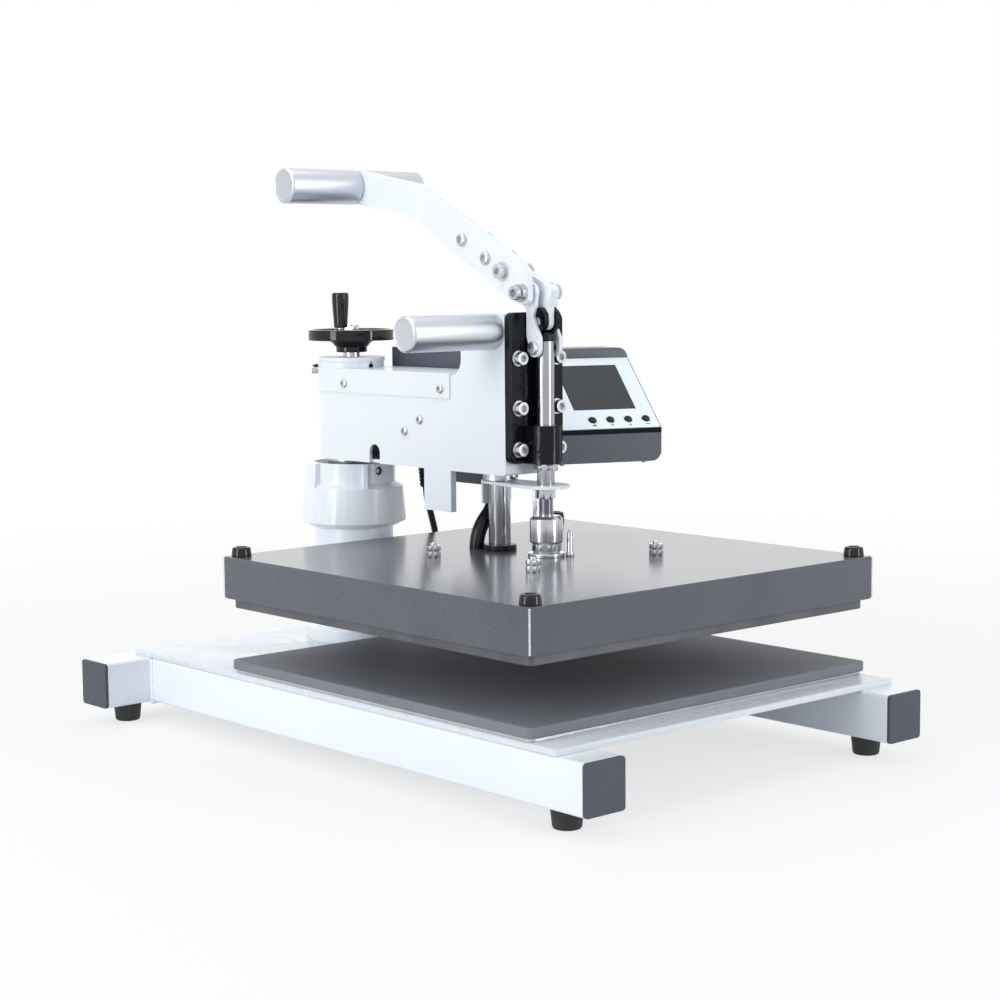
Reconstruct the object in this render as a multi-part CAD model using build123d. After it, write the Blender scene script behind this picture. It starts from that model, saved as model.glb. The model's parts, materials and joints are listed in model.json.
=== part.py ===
from build123d import *
import math
import os

# A swing-away tabletop transfer press, in millimetres. +X is the operator's right, -Y is the
# operator's side and +Z is up. The origin is on the floor under the centre of the base.

os.makedirs("parts", exist_ok=True)

# ---- Base frame ----
base_depth = 603.0
base_width = 380.0
rear_rail_length = 476.0
tube_size = 40.0
tube_wall = 2.5
tube_edge_radius = 3.0
cap_head = 3.0
cap_plug = 14.0
cap_play = 0.2
foot_height = 17.0
foot_top_radius = 12.5
foot_tip_radius = 11.0
foot_setback = 40.0
plate_thickness = 5.0
plate_bevel = 1.5
plate_front_gap = 29.5
plate_rear_gap = 12.5

# ---- Lower platen ----
platen_y = -55.0
lower_platen_thickness = 2.5
lower_platen_inset = 2.0
pad_thickness = 8.5
pad_corner = 6.0

# ---- Heat platen ----
open_gap = 44.6
cover_size = 386.0
cover_height = 36.0
cover_wall = 1.5
cover_corner = 3.0
heat_plate_thickness = 20.0
heat_plate_lip = 8.0
heat_plate_corner = 6.0
heat_plate_gap = 3.5
element_radius = 4.0
element_pitch = 60.0
element_margin = 40.0
insulation_thickness = 8.0
corner_cap_radius = 8.5
corner_cap_height = 8.0
corner_cap_inset = 11.0
stud_radius = 3.0
stud_height = 12.0
stud_nut_flats = 10.0
stud_nut_height = 5.0
stud_spread = 70.0
stud_spread_y = 62.0
probe_radius = 2.5
probe_height = 22.0
probe_x = 14.0
probe_y = -71.0

# ---- Column and swing post ----
column_setback = 94.5
column_radius = 36.0
column_height = 160.0
column_foot_radius = 46.0
column_foot_height = 12.0
post_radius = 24.0
running_clearance = 0.06
bush_radius = 28.0
bush_length = 30.0
bush_flange = 4.0
collar_bottom = 166.0
collar_bottom_radius = 48.3
collar_top_radius = 43.5
collar_skirt = 5.0
collar_recess_radius = 38.5
collar_recess_height = 24.5
collar_recess_turn = 180.0
collar_ledge_rise = 5.5
collar_rib_width = 4.0
collar_rib_turn = 246.6
collar_screw_radius = 4.0

# ---- Arm ----
arm_width = 60.0
arm_wall = 3.0
arm_gap = 4.0
arm_height = 82.0
arm_corner = 3.0
head_front = -40.0
head_back = 16.0
head_rise = 53.0
head_fillet = 14.0
turret_radius = 30.0
turret_rise = 6.5
turret_cap_thickness = 4.5
turret_cap_lip = 0.6
cover_sheet = 1.5
cover_front = 30.0
cover_flange = 20.0
notch_width = 15.0
notch_height = 17.0
notch_y = 136.5
tab_front = 31.0
tab_back = 67.0
tab_drop = 36.0
tab_sheet = 2.0
tab_fold = 6.0
screw_head_radius = 3.6
screw_head_height = 2.2
screw_radius = 2.0
screw_length = 4.5
screw_play = 0.1

# ---- Head casting and linkage ----
shaft_offset_y = -2.0
shaft_radius = 7.5
flange_thickness = 7.0
flange_bottom = 240.0
flange_height = 126.0
flange_corner = 7.0
boss_radius = 14.0
boss_height = 32.0
shaft_bush_wall = 2.5
bolt_spread = 21.5
bolt_heights = [252.0, 286.5, 328.0]
bolt_radius = 3.0
bolt_head_radius = 5.0
bolt_head_height = 5.0
bolt_length = 16.0
fulcrum_z = 358.0
fulcrum_radius = 4.0
crank_y = 5.0
crank_z = 24.0
crosshead_drop = 21.7
bar_thickness = 8.0
bar_eye_radius = 7.0
ear_gap = 0.5
ear_thickness = 4.5
ear_radius = 10.5
link_gap = 0.3
link_thickness = 3.5
link_upper_radius = 9.0
link_lower_radius = 7.5
link_pin_radius = 3.5
link_pin_head_radius = 5.0
link_pin_head = 3.0

# ---- Lever ----
lever_plate_inner = 15.0
lever_plate_thickness = 6.0
lever_bar_y = 229.0
lever_bar_z = 118.0
grip_radius = 15.5
left_grip_length = 78.0
right_grip_length = 65.0
grip_bevel = 1.5
grip_stud_radius = 5.0
lever_bolt_radius = 4.0
lever_bolt_head_radius = 6.5
lever_bolt_head_height = 5.0
lever_spacer_radius = 6.0
lever_bolts = [(80.0, 68.7), (49.7, 52.8), (29.0, 41.8)]

# ---- Side handle ----
side_handle_radius = 15.0
side_handle_length = 95.0
side_handle_y = -25.0
side_handle_z = 350.0
side_stud_radius = 5.0
side_stud_length = 30.0

# ---- Press shaft, yoke and guide post ----
shaft_head_gap = 2.0
shaft_head_height = 7.0
shaft_head_radius = 8.5
rod_radius = 6.0
coupling_radius = 14.0
coupling_bottom = 173.0
coupling_height = 23.0
coupling_bevel = 3.0
coupling_nut_flats = 22.0
coupling_flange_radius = 15.5
coupling_flange = 3.4
lock_nut_flats = 14.0
lock_nut_height = 9.0
wheel_nut_flats = 13.0
gauge_rod_radius = 1.8
gauge_rod_x = -8.0
gauge_rod_y = -52.0
yoke_thickness = 2.5
yoke_bottom = 219.5
yoke_post_radius = 14.0
yoke_shaft_radius = 20.0
clamp_left = -9.0
clamp_right = 24.0
clamp_y = 13.5
clamp_sheet = 2.0
guide_y = 2.0
guide_radius = 9.5
guide_top = 300.0
guide_ring_wall = 4.5
guide_ring_drop = 7.4
guide_flange_radius = 14.5
guide_flange_height = 5.0
clamp_drop = 18.0
sleeve_radius = 6.5

# ---- Handwheel ----
wheel_radius = 40.0
wheel_rim = 5.0
wheel_band = 10.0
wheel_lift = 26.0
wheel_web = 4.0
wheel_bowl_radius = 21.0
wheel_neck_radius = 14.0
wheel_hub_radius = 12.5
wheel_hub_drop = 11.0
screw_thread_radius = 8.0
screw_collar_radius = 12.0
screw_collar_height = 4.0
screw_bottom = 240.0
nut_flats = 34.0
nut_height = 20.0
post_top = 300.0
grip_turn = 214.0
crank_radius = 30.0
crank_grip_radius = 7.75
crank_grip_neck = 6.0
crank_grip_height = 32.0
crank_stem_radius = 3.5
crank_stem_rise = 3.0

# ---- Control box ----
box_left = 34.0
box_width = 97.0
box_front = -36.0
box_turn = 20.8
box_depth = 112.0
box_back = 190.0
box_bottom = 235.0
box_height = 96.0
box_chin = 29.0
box_slope_y = 72.2
box_slope_z = 58.6
box_wall = 2.5
box_corner = 9.0
side_box_front = 45.0
side_box_right = 100.0
panel_thickness = 2.0
panel_inset = 0.8
panel_ledge_drop = 2.8
display_width = 58.7
display_height = 58.0
display_across = 52.0
display_rise = 53.8
display_thickness = 1.2
button_spacing = 16.8
button_across = 60.8
button_rise = 11.6
button_radius = 3.5
button_length = 5.0
button_proud = 1.5
button_play = 0.25
board_thickness = 1.6
gland_x = 60.0
gland_y = 176.0
gland_radius = 8.0
gland_drop = 14.0
lug_front = 60.0
lug_back = 100.0
lug_drop = 24.0
lug_sheet = 3.0

# ---- Mains lead ----
lead_diameter = 6.2
gland_clearance = 0.3
coil_outer = 45.0
coil_turns = 2
coil_pitch = 8.2
coil_layer = 7.2
coil_tail = 42.0
coil_gap_y = 38.0
plug_length = 34.0
plug_width = 32.0
plug_height = 20.0
plug_corner = 9.0
plug_bevel = 2.0
plug_pin_radius = 2.4
plug_pin_length = 18.0
plug_pin_spacing = 19.0
lead_route = [
    (61.0, 176.4, 195.0),
    (67.5, 178.0, 177.0),
    (80.0, 183.0, 147.0),
    (97.0, 204.0, 113.0),
    (111.0, 240.0, 92.0),
    (123.0, 282.0, 84.0),
    (131.0, 322.0, 68.0),
    (134.0, 346.0, 38.0),
    (134.0, 376.0, lead_diameter / 2),
]

# ---- Places that follow ----
column_y = base_depth / 2 - column_setback
platen_size = base_width
rail_bottom = foot_height
rail_top = rail_bottom + tube_size
rail_x = base_width / 2 - tube_size / 2
rear_rail_y = base_depth / 2 - tube_size / 2
front_end = -base_depth / 2 + cap_head
base_top = rail_top + plate_thickness
pad_bottom = base_top + lower_platen_thickness
pad_top = pad_bottom + pad_thickness
heat_plate_bottom = pad_top + open_gap
cover_bottom = heat_plate_bottom + heat_plate_lip
cover_top = cover_bottom + cover_height
heat_plate_top = heat_plate_bottom + heat_plate_thickness
collar_top = base_top + column_height + 4.0
arm_bottom = collar_top + arm_gap
arm_top = arm_bottom + arm_height
head_top = arm_top + head_rise
turret_top = arm_top + turret_rise
cap_top = turret_top + turret_cap_thickness
shaft_y = platen_y + shaft_offset_y
flange_front = head_front - flange_thickness
ear_inner = bar_thickness / 2 + ear_gap
ear_outer = ear_inner + ear_thickness
link_inner = ear_outer + link_gap
link_outer = link_inner + link_thickness
pivot_y = shaft_y + crank_y
pivot_z = fulcrum_z + crank_z
crosshead_z = fulcrum_z - crosshead_drop
shaft_head_top = fulcrum_z - bar_eye_radius - shaft_head_gap
shaft_top = shaft_head_top - shaft_head_height
wheel_bottom = arm_top + wheel_lift
wheel_top = wheel_bottom + wheel_band
lead_radius = lead_diameter / 2
gland_tip = box_bottom - gland_drop


def save(shape, node):
    """Write one sub-part under its node's name."""
    export_step(shape, "parts/" + node + ".step")


def rod(radius, low, high, x=0.0, y=0.0):
    """A vertical cylinder between two heights."""
    return Pos(x, y, (low + high) / 2) * Cylinder(radius, high - low)


def cross_rod(radius, left, right, y, z):
    """A cylinder along X between two sides."""
    return Pos((left + right) / 2, y, z) * Rot(0, 90, 0) * Cylinder(radius, right - left)


def depth_rod(radius, front, back, x, z):
    """A cylinder along Y between two depths."""
    return Pos(x, (front + back) / 2, z) * Rot(90, 0, 0) * Cylinder(radius, back - front)


def block(x0, x1, y0, y1, z0, z1):
    """A box between two corners."""
    return Pos((x0 + x1) / 2, (y0 + y1) / 2, (z0 + z1) / 2) * Box(x1 - x0, y1 - y0, z1 - z0)


def slab(size_x, size_y, corner, low, high, y=0.0, x=0.0):
    """A flat plate with rounded corners, between two heights."""
    return Pos(x, y, low) * extrude(RectangleRounded(size_x, size_y, corner), high - low)


def side_plate(outline, left, right):
    """A plate that lies along YZ: an outline of (y, z) points, from one side to the other."""
    face = make_face(outline)
    return Pos(left, 0, 0) * extrude(Plane.YZ * face, amount=right - left, dir=(1, 0, 0))


def hexagon(flats, low, high, x=0.0, y=0.0):
    """A hexagonal prism, by its size across flats."""
    radius = flats / math.sqrt(3)
    return Pos(x, y, low) * extrude(RegularPolygon(radius, 6), high - low)


# ---- Base frame ----
def square_tube(length):
    """A length of square tube along Y, centred on the origin."""
    outer = RectangleRounded(tube_size, tube_size, tube_edge_radius)
    inner = RectangleRounded(tube_size - 2 * tube_wall, tube_size - 2 * tube_wall, tube_edge_radius / 2)
    return Pos(0, length / 2, 0) * Rot(90, 0, 0) * extrude(outer - inner, length)


def end_cap():
    """A plastic plug for a tube's end: its head faces -Y and the tube's mouth is at the origin."""
    head = Pos(0, -cap_head / 2, 0) * Rot(90, 0, 0) * extrude(
        RectangleRounded(tube_size, tube_size, tube_edge_radius), cap_head / 2, both=True
    )
    inner_size = tube_size - 2 * tube_wall - 2 * cap_play
    plug = Pos(0, cap_plug / 2, 0) * Rot(90, 0, 0) * extrude(
        RectangleRounded(inner_size, inner_size, tube_edge_radius / 2), cap_plug / 2, both=True
    )
    core = Pos(0, cap_plug / 2 + 1, 0) * Box(inner_size - 5, cap_plug, inner_size - 5)
    return head + (plug - core)


rail_z = (rail_bottom + rail_top) / 2
side_rail_end = rear_rail_y - tube_size / 2
side_rail_length = side_rail_end - front_end
side_rail_y = (side_rail_end + front_end) / 2
rear_tube_length = rear_rail_length - 2 * cap_head
foot_places = [
    (-rail_x, -base_depth / 2 + foot_setback),
    (rail_x, -base_depth / 2 + foot_setback),
    (-rear_rail_length / 2 + foot_setback - 6, rear_rail_y),
    (rear_rail_length / 2 - foot_setback + 6, rear_rail_y),
]


def foot(x, y):
    """A tapered rubber foot under a rail."""
    return Pos(x, y, foot_height / 2) * Cone(foot_tip_radius, foot_top_radius, foot_height)


save(Pos(-rail_x, side_rail_y, rail_z) * square_tube(side_rail_length), "left_rail")
save(Pos(rail_x, side_rail_y, rail_z) * square_tube(side_rail_length), "right_rail")
save(Pos(0, rear_rail_y, rail_z) * Rot(0, 0, 90) * square_tube(rear_tube_length), "rear_rail")
caps = [
    Pos(-rail_x, front_end, rail_z) * end_cap(),
    Pos(rail_x, front_end, rail_z) * end_cap(),
    Pos(-rear_tube_length / 2, rear_rail_y, rail_z) * Rot(0, 0, -90) * end_cap(),
    Pos(rear_tube_length / 2, rear_rail_y, rail_z) * Rot(0, 0, 90) * end_cap(),
]
save(Compound(children=caps), "rail_end_caps")
save(Compound(children=[foot(x, y) for x, y in foot_places]), "rubber_feet")

plate_front = -base_depth / 2 + plate_front_gap
plate_back = base_depth / 2 - plate_rear_gap
base_plate = block(-base_width / 2, base_width / 2, plate_front, plate_back, rail_top, base_top)
base_plate = chamfer(base_plate.faces().sort_by(Axis.Z)[-1].edges(), plate_bevel)
base_plate -= rod(column_foot_radius, rail_top + plate_thickness / 2, base_top + 1, 0, column_y)
save(base_plate, "base_plate")

# ---- Lower platen ----
lower_size = platen_size - 2 * lower_platen_inset
save(slab(lower_size, lower_size, pad_corner, base_top, pad_bottom, platen_y), "lower_platen")
save(slab(platen_size, platen_size, pad_corner, pad_bottom, pad_top, platen_y), "silicone_pad")

# ---- Column ----
column_foot_bottom = rail_top + plate_thickness / 2
column_top = base_top + column_height
column_tube = rod(column_radius, column_foot_bottom, column_top, 0, column_y)
column_tube += rod(column_foot_radius, column_foot_bottom, base_top + column_foot_height, 0, column_y)
column_tube -= rod(bush_radius, column_foot_bottom + 2, column_top + 1, 0, column_y)
lock_z = collar_top - collar_recess_height / 2 + 5
column_tube -= depth_rod(collar_screw_radius, column_y - column_radius - 5, column_y, 0, lock_z)
save(column_tube, "column_tube")

lower_bush_bottom = column_foot_bottom + 2
bush_bore = post_radius + running_clearance
lower_bush = rod(bush_radius, lower_bush_bottom, lower_bush_bottom + bush_length, 0, column_y)
lower_bush -= rod(bush_bore, lower_bush_bottom + bush_flange, column_top, 0, column_y)
upper_bush_top = lock_z - collar_screw_radius - 2
upper_bush = rod(bush_radius, upper_bush_top - bush_length, upper_bush_top, 0, column_y)
upper_bush -= rod(bush_bore, column_foot_bottom, collar_top, 0, column_y)
save(Compound(children=[lower_bush, upper_bush]), "column_bushes")


def sector(radius, start, end, low, high):
    """A pie slice round the column between two angles in degrees."""
    middle = (start + end) / 2
    points = [(0, 0)]
    for angle in (start, middle, end):
        turn = math.radians(angle)
        points.append((radius * math.cos(turn), radius * math.sin(turn)))
    reach = Polyline(points[0], points[1])
    arc = ThreePointArc(points[1], points[2], points[3])
    back = Polyline(points[3], points[0])
    return Pos(0, column_y, low) * extrude(make_face([reach, arc, back]), high - low)


collar = Pos(0, column_y, collar_bottom + collar_skirt + (collar_top - collar_bottom - collar_skirt) / 2) * Cone(
    collar_bottom_radius, collar_top_radius, collar_top - collar_bottom - collar_skirt
)
collar += Pos(0, column_y, collar_bottom + collar_skirt / 2) * Cone(
    column_radius + 2, collar_bottom_radius, collar_skirt
)
recess_low = collar_top - collar_recess_height
recess = sector(collar_bottom_radius + 5, collar_recess_turn, 360, recess_low, collar_top + 1)
recess -= rod(collar_recess_radius, recess_low - 1, collar_top + 2, 0, column_y)
recess -= Pos(0, column_y, recess_low + collar_ledge_rise / 2) * Cone(
    collar_bottom_radius, collar_recess_radius, collar_ledge_rise
)
rib = Pos(0, column_y, 0) * Rot(0, 0, collar_rib_turn) * block(
    collar_recess_radius - 2, collar_top_radius + 1.5, -collar_rib_width / 2, collar_rib_width / 2,
    recess_low - 6, collar_top,
)
collar = collar - recess + rib
collar -= rod(column_radius, collar_bottom - 1, collar_top + 1, 0, column_y)
collar -= depth_rod(collar_screw_radius, column_y - collar_bottom_radius, column_y, 0, lock_z)
save(collar, "stop_collar")
lock_screw = depth_rod(
    collar_screw_radius - screw_play, column_y - collar_recess_radius + 2, column_y - bush_radius, 0, lock_z
)
lock_screw -= Pos(0, column_y - collar_recess_radius + 3.5, lock_z) * Rot(90, 0, 0) * extrude(
    RegularPolygon(2.3, 6), 2, both=True
)
save(lock_screw, "collar_lock_screw")

# ---- Swing post ----
post_bottom = lower_bush_bottom + bush_flange
swing_post = rod(post_radius, post_bottom, post_top, 0, column_y)
swing_post -= rod(screw_thread_radius + 1, post_bottom + 60, post_top + 1, 0, column_y)
swing_post -= hexagon(nut_flats + 0.2, post_top - nut_height, post_top + 1, 0, column_y)
save(swing_post, "swing_post")
height_nut = hexagon(nut_flats, post_top - nut_height, post_top, 0, column_y)
height_nut -= rod(screw_thread_radius + running_clearance, post_top - nut_height - 1, post_top + 1, 0, column_y)
save(height_nut, "height_nut")

# ---- Arm ----
half_arm = arm_width / 2
arm_outline = [
    (column_y, arm_bottom),
    (head_front, arm_bottom),
    (head_front, head_top),
    (head_back, head_top),
    (head_back, arm_top),
    (column_y, arm_top),
]
arm_radii = [0, arm_corner, arm_corner, arm_corner, head_fillet, 0]
arm_cavity = [
    (column_y, arm_bottom + arm_wall),
    (head_front + arm_wall, arm_bottom + arm_wall),
    (head_front + arm_wall, head_top - arm_wall),
    (head_back - arm_wall, head_top - arm_wall),
    (head_back - arm_wall, arm_top - arm_wall),
    (column_y, arm_top - arm_wall),
]
arm_shell = side_plate(FilletPolyline(*arm_outline, radius=arm_radii, close=True), -half_arm, half_arm)
arm_shell -= side_plate(Polyline(*arm_cavity, close=True), -half_arm + arm_wall, half_arm - arm_wall)
arm_shell += rod(turret_radius, arm_bottom, turret_top, 0, column_y)
arm_shell -= rod(bush_bore, arm_bottom - 1, turret_top + 1, 0, column_y)
notch = block(-half_arm - 1, -half_arm + arm_wall + 1, notch_y - notch_width / 2, notch_y + notch_width / 2,
              arm_bottom - 1, arm_bottom + notch_height - notch_width / 2)
notch += cross_rod(notch_width / 2, -half_arm - 1, -half_arm + arm_wall + 1, notch_y,
                   arm_bottom + notch_height - notch_width / 2)
arm_shell -= notch
arm_shell += block(-half_arm, -half_arm + tab_sheet, tab_front, tab_back,
                   arm_bottom - tab_drop, arm_bottom + arm_wall)
arm_shell += block(-half_arm, -half_arm + tab_fold, tab_front, tab_front + tab_sheet,
                   arm_bottom - tab_drop, arm_bottom + arm_wall)
guide_ring_radius = guide_radius + guide_ring_wall
arm_shell -= rod(guide_ring_radius, arm_bottom - 1, arm_bottom + arm_wall + 1, 0, guide_y)
for side in (-1, 1):
    for z in bolt_heights:
        arm_shell -= depth_rod(bolt_radius + screw_play, head_front - 1, head_front + arm_wall + 1,
                               side * bolt_spread, z)
arm_shell -= cross_rod(side_stud_radius + screw_play, -half_arm - 1, -half_arm + arm_wall + 1,
                       side_handle_y, side_handle_z)

cover_screws = [(42.0, arm_top - 12.0), (178.0, arm_top - 12.0)]
wall_screws = [(72.0, 272.0), (93.0, 261.0)]


def pan_screw(seat, side, y, z):
    """A pan-head screw along X: its head stands on the seat and its shank runs into the arm."""
    head = cross_rod(screw_head_radius, 0, screw_head_height, 0, 0)
    head = fillet(head.edges().sort_by(Axis.X)[-1], 1.0)
    head -= cross_rod(1.5, screw_head_height - 1.2, screw_head_height + 1, 0, 0)
    screw = head + cross_rod(screw_radius, -screw_length, 0.1, 0, 0)
    turn = 0 if side > 0 else 180
    return Pos(side * seat, y, z) * Rot(0, 0, turn) * screw


def screw_hole(side, y, z):
    """The hole for a pan-head screw through a side wall and its cover."""
    reach = half_arm + cover_sheet + 1
    near = min(side * (half_arm - arm_wall - 2), side * reach)
    far = max(side * (half_arm - arm_wall - 2), side * reach)
    return cross_rod(screw_radius + screw_play, near, far, y, z)


cover_seat = half_arm + cover_sheet
arm_screws = []
for y, z in cover_screws:
    for side in (-1, 1):
        arm_screws.append(pan_screw(cover_seat, side, y, z))
        arm_shell -= screw_hole(side, y, z)
for y, z in wall_screws:
    arm_screws.append(pan_screw(half_arm, -1, y, z))
    arm_shell -= screw_hole(-1, y, z)
save(arm_shell, "arm_shell")
save(Compound(children=arm_screws), "arm_screws")

cover_outer = half_arm + cover_sheet
cover_back = column_y
arm_cover = block(-cover_outer, cover_outer, cover_front, cover_back, arm_top - cover_flange, arm_top + cover_sheet)
arm_cover += rod(cover_outer, arm_top - cover_flange, arm_top + cover_sheet, 0, cover_back)
arm_cover -= block(-half_arm, half_arm, cover_front - 1, cover_back, arm_top - cover_flange - 1, arm_top)
arm_cover -= rod(half_arm, arm_top - cover_flange - 1, arm_top, 0, cover_back)
arm_cover -= rod(turret_radius, arm_top - cover_flange - 1, arm_top + cover_sheet + 1, 0, cover_back)
for y, z in cover_screws:
    for side in (-1, 1):
        arm_cover -= screw_hole(side, y, z)
save(arm_cover, "arm_top_cover")

turret_cap = rod(turret_radius + turret_cap_lip, turret_top, cap_top, 0, column_y)
turret_cap = fillet(turret_cap.edges().sort_by(Axis.Z)[-1], 1.2)
turret_cap -= rod(screw_thread_radius + running_clearance, turret_top - 1, cap_top + 1, 0, column_y)
save(turret_cap, "turret_cap")

# ---- Head casting: flange, shaft boss and fulcrum ears ----
flange = Pos(0, head_front, flange_bottom + flange_height / 2) * Rot(90, 0, 0) * extrude(
    RectangleRounded(arm_width, flange_height, flange_corner), flange_thickness
)
flange = fillet(flange.faces().sort_by(Axis.Y)[0].edges(), 1.5)
boss_top = flange_bottom + boss_height
casting = flange + rod(boss_radius, flange_bottom, boss_top, 0, shaft_y)
casting += block(-boss_radius, boss_radius, shaft_y, head_front - 2, flange_bottom, boss_top)
ear_outline = [
    (head_front - 2, fulcrum_z - 14),
    (shaft_y, fulcrum_z - ear_radius),
    (shaft_y - ear_radius, fulcrum_z - 4),
    (shaft_y - ear_radius + 1, fulcrum_z + 7),
    (shaft_y - 3, fulcrum_z + 12.5),
    (head_front - 2, flange_bottom + flange_height - 1),
]
ear_radii = [0, 8, 8, 6, 4, 0]
ear = side_plate(FilletPolyline(*ear_outline, radius=ear_radii, close=True), ear_inner, ear_outer)
casting += ear
casting += side_plate(FilletPolyline(*ear_outline, radius=ear_radii, close=True), -ear_outer, -ear_inner)
casting -= cross_rod(fulcrum_radius, -ear_outer - 1, ear_outer + 1, shaft_y, fulcrum_z)
casting -= rod(shaft_radius + shaft_bush_wall, flange_bottom - 1, boss_top + 1, 0, shaft_y)
casting -= rod(shaft_head_radius + 0.5, fulcrum_z - ear_radius - 5, shaft_head_top + 0.5, 0, shaft_y)
for side in (-1, 1):
    for z in bolt_heights:
        casting -= depth_rod(bolt_radius + screw_play, flange_front - 1, head_front + 1, side * bolt_spread, z)
save(casting, "head_casting")
save(cross_rod(fulcrum_radius, -ear_outer, ear_outer, shaft_y, fulcrum_z), "fulcrum_pin")



def bush(radius, wall, low, high, y):
    """A plain bearing bush on the vertical centre plane."""
    outer = rod(radius + wall, low, high, 0, y)
    return outer - rod(radius + running_clearance, low - 1, high + 1, 0, y)


shaft_bush = bush(shaft_radius, shaft_bush_wall, flange_bottom, boss_top, shaft_y)
guide_bush = bush(guide_radius, guide_ring_wall, arm_bottom - guide_ring_drop, arm_bottom + 18, guide_y)
save(Compound(children=[shaft_bush, guide_bush]), "slide_bushes")


def cap_bolt(x, z):
    """A socket-head bolt that clamps the casting to the head, with its washer under the head."""
    head = depth_rod(bolt_head_radius, flange_front - bolt_head_height - 1, flange_front - 1, x, z)
    head -= depth_rod(2.5, flange_front - bolt_head_height - 2, flange_front - 3, x, z)
    washer = depth_rod(bolt_head_radius + 1, flange_front - 1, flange_front, x, z)
    shank = depth_rod(bolt_radius, flange_front - 1, flange_front + bolt_length, x, z)
    return head + washer + shank


bolts = [cap_bolt(side * bolt_spread, z) for side in (-1, 1) for z in bolt_heights]
save(Compound(children=bolts), "casting_bolts")

# ---- Side handle ----
handle_outer = half_arm + side_handle_length
side_handle = cross_rod(side_handle_radius, -handle_outer, -half_arm, side_handle_y, side_handle_z)
side_handle = chamfer(side_handle.edges().sort_by(Axis.X)[0], grip_bevel)
side_handle -= cross_rod(side_stud_radius, -half_arm - side_stud_length + 8, -half_arm + 1,
                         side_handle_y, side_handle_z)
side_stud = cross_rod(side_stud_radius, -half_arm - side_stud_length + 8, -half_arm + arm_wall + 8,
                      side_handle_y, side_handle_z)
save(Compound(children=[side_handle, side_stud]), "side_handle")

# ---- Lever: places are (y, z) from the fulcrum ----
def from_fulcrum(points):
    """Move (y, z) points from the fulcrum to the object's frame."""
    return [(shaft_y + y, fulcrum_z + z) for y, z in points]


plate_outline = from_fulcrum([
    (lever_bar_y + 13.5, lever_bar_z + 13.5),
    (lever_bar_y - 13, lever_bar_z + 13.5),
    (lever_bar_y - 96, lever_bar_z - 1.5),
    (8.0, 50.5),
    (-1.5, 41.5),
    (-2.5, 17.0),
    (4.0, 13.5),
    (23.2, 20.2),
    (150.7, 91.5),
    (lever_bar_y + 13.5, lever_bar_z - 12.5),
])
plate_radii = [12, 20, 24, 12, 6, 4, 5, 8, 30, 12]
plate_left = -lever_plate_inner - lever_plate_thickness
plate_right = -lever_plate_inner
lever_plate = side_plate(FilletPolyline(*plate_outline, radius=plate_radii, close=True), plate_left, plate_right)
bolt_places = from_fulcrum(lever_bolts)
for y, z in bolt_places + [(pivot_y, pivot_z)]:
    lever_plate -= cross_rod(lever_bolt_radius, plate_left - 1, plate_right + 1, y, z)
grip_y = shaft_y + lever_bar_y
grip_z = fulcrum_z + lever_bar_z
lever_plate -= cross_rod(grip_stud_radius, plate_left - 1, plate_right + 1, grip_y, grip_z)
save(lever_plate, "lever_plate")

bar_outline = from_fulcrum([
    (99.0, 86.5),
    (14.3, 39.5),
    (-6.0, 30.5),
    (-13.0, 27.0),
    (-7.0, 12.0),
    (-7.0, -7.0),
    (7.0, -7.0),
    (8.5, 8.0),
    (20.0, 19.5),
    (103.0, 66.0),
])
bar_radii = [6, 30, 10, 2.5, 12, 6.8, 6.8, 8, 12, 6]
half_bar = bar_thickness / 2
lever_bar = side_plate(FilletPolyline(*bar_outline, radius=bar_radii, close=True), -half_bar, half_bar)
lever_bar -= cross_rod(fulcrum_radius + running_clearance, -half_bar - 1, half_bar + 1, shaft_y, fulcrum_z)
for y, z in bolt_places + [(pivot_y, pivot_z)]:
    lever_bar -= cross_rod(lever_bolt_radius, -half_bar - 1, half_bar + 1, y, z)
save(lever_bar, "lever_bar")


def lever_bolt(y, z):
    """A bolt through the lever's plate, spacer and bar, with a nut behind."""
    head = cross_rod(lever_bolt_head_radius, plate_left - 1 - lever_bolt_head_height, plate_left - 1, y, z)
    head -= cross_rod(3.0, plate_left - 2 - lever_bolt_head_height, plate_left - 3, y, z)
    washer = cross_rod(lever_bolt_head_radius + 1.5, plate_left - 1, plate_left, y, z)
    shank = cross_rod(lever_bolt_radius, plate_left - 1, half_bar + 6, y, z)
    nut = cross_rod(lever_bolt_head_radius, half_bar, half_bar + 5.5, y, z)
    return head + washer + shank + nut


def lever_spacer(y, z):
    """A tube that holds the plate off the bar."""
    tube = cross_rod(lever_spacer_radius, plate_right, -half_bar, y, z)
    return tube - cross_rod(lever_bolt_radius, plate_right - 1, 0, y, z)


lever_spacers = [lever_spacer(y, z) for y, z in bolt_places]

pivot_head = cross_rod(lever_bolt_head_radius - 0.5, plate_left - 10, plate_left - 5, pivot_y, pivot_z)
pivot_head -= cross_rod(3.0, plate_left - 11, plate_left - 7, pivot_y, pivot_z)
pivot_collar = cross_rod(lever_bolt_head_radius + 0.8, plate_left - 5, plate_left, pivot_y, pivot_z)
pivot_shank = cross_rod(lever_bolt_radius, plate_left - 5, link_outer + 1, pivot_y, pivot_z)
pivot_nut = cross_rod(lever_bolt_head_radius, link_outer + 0.5, link_outer + 6, pivot_y, pivot_z)
pivot_bolt = pivot_head + pivot_collar + pivot_shank + pivot_nut
lever_fasteners = [lever_bolt(y, z) for y, z in bolt_places] + [pivot_bolt] + lever_spacers
save(Compound(children=lever_fasteners), "lever_bolts")


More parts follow.
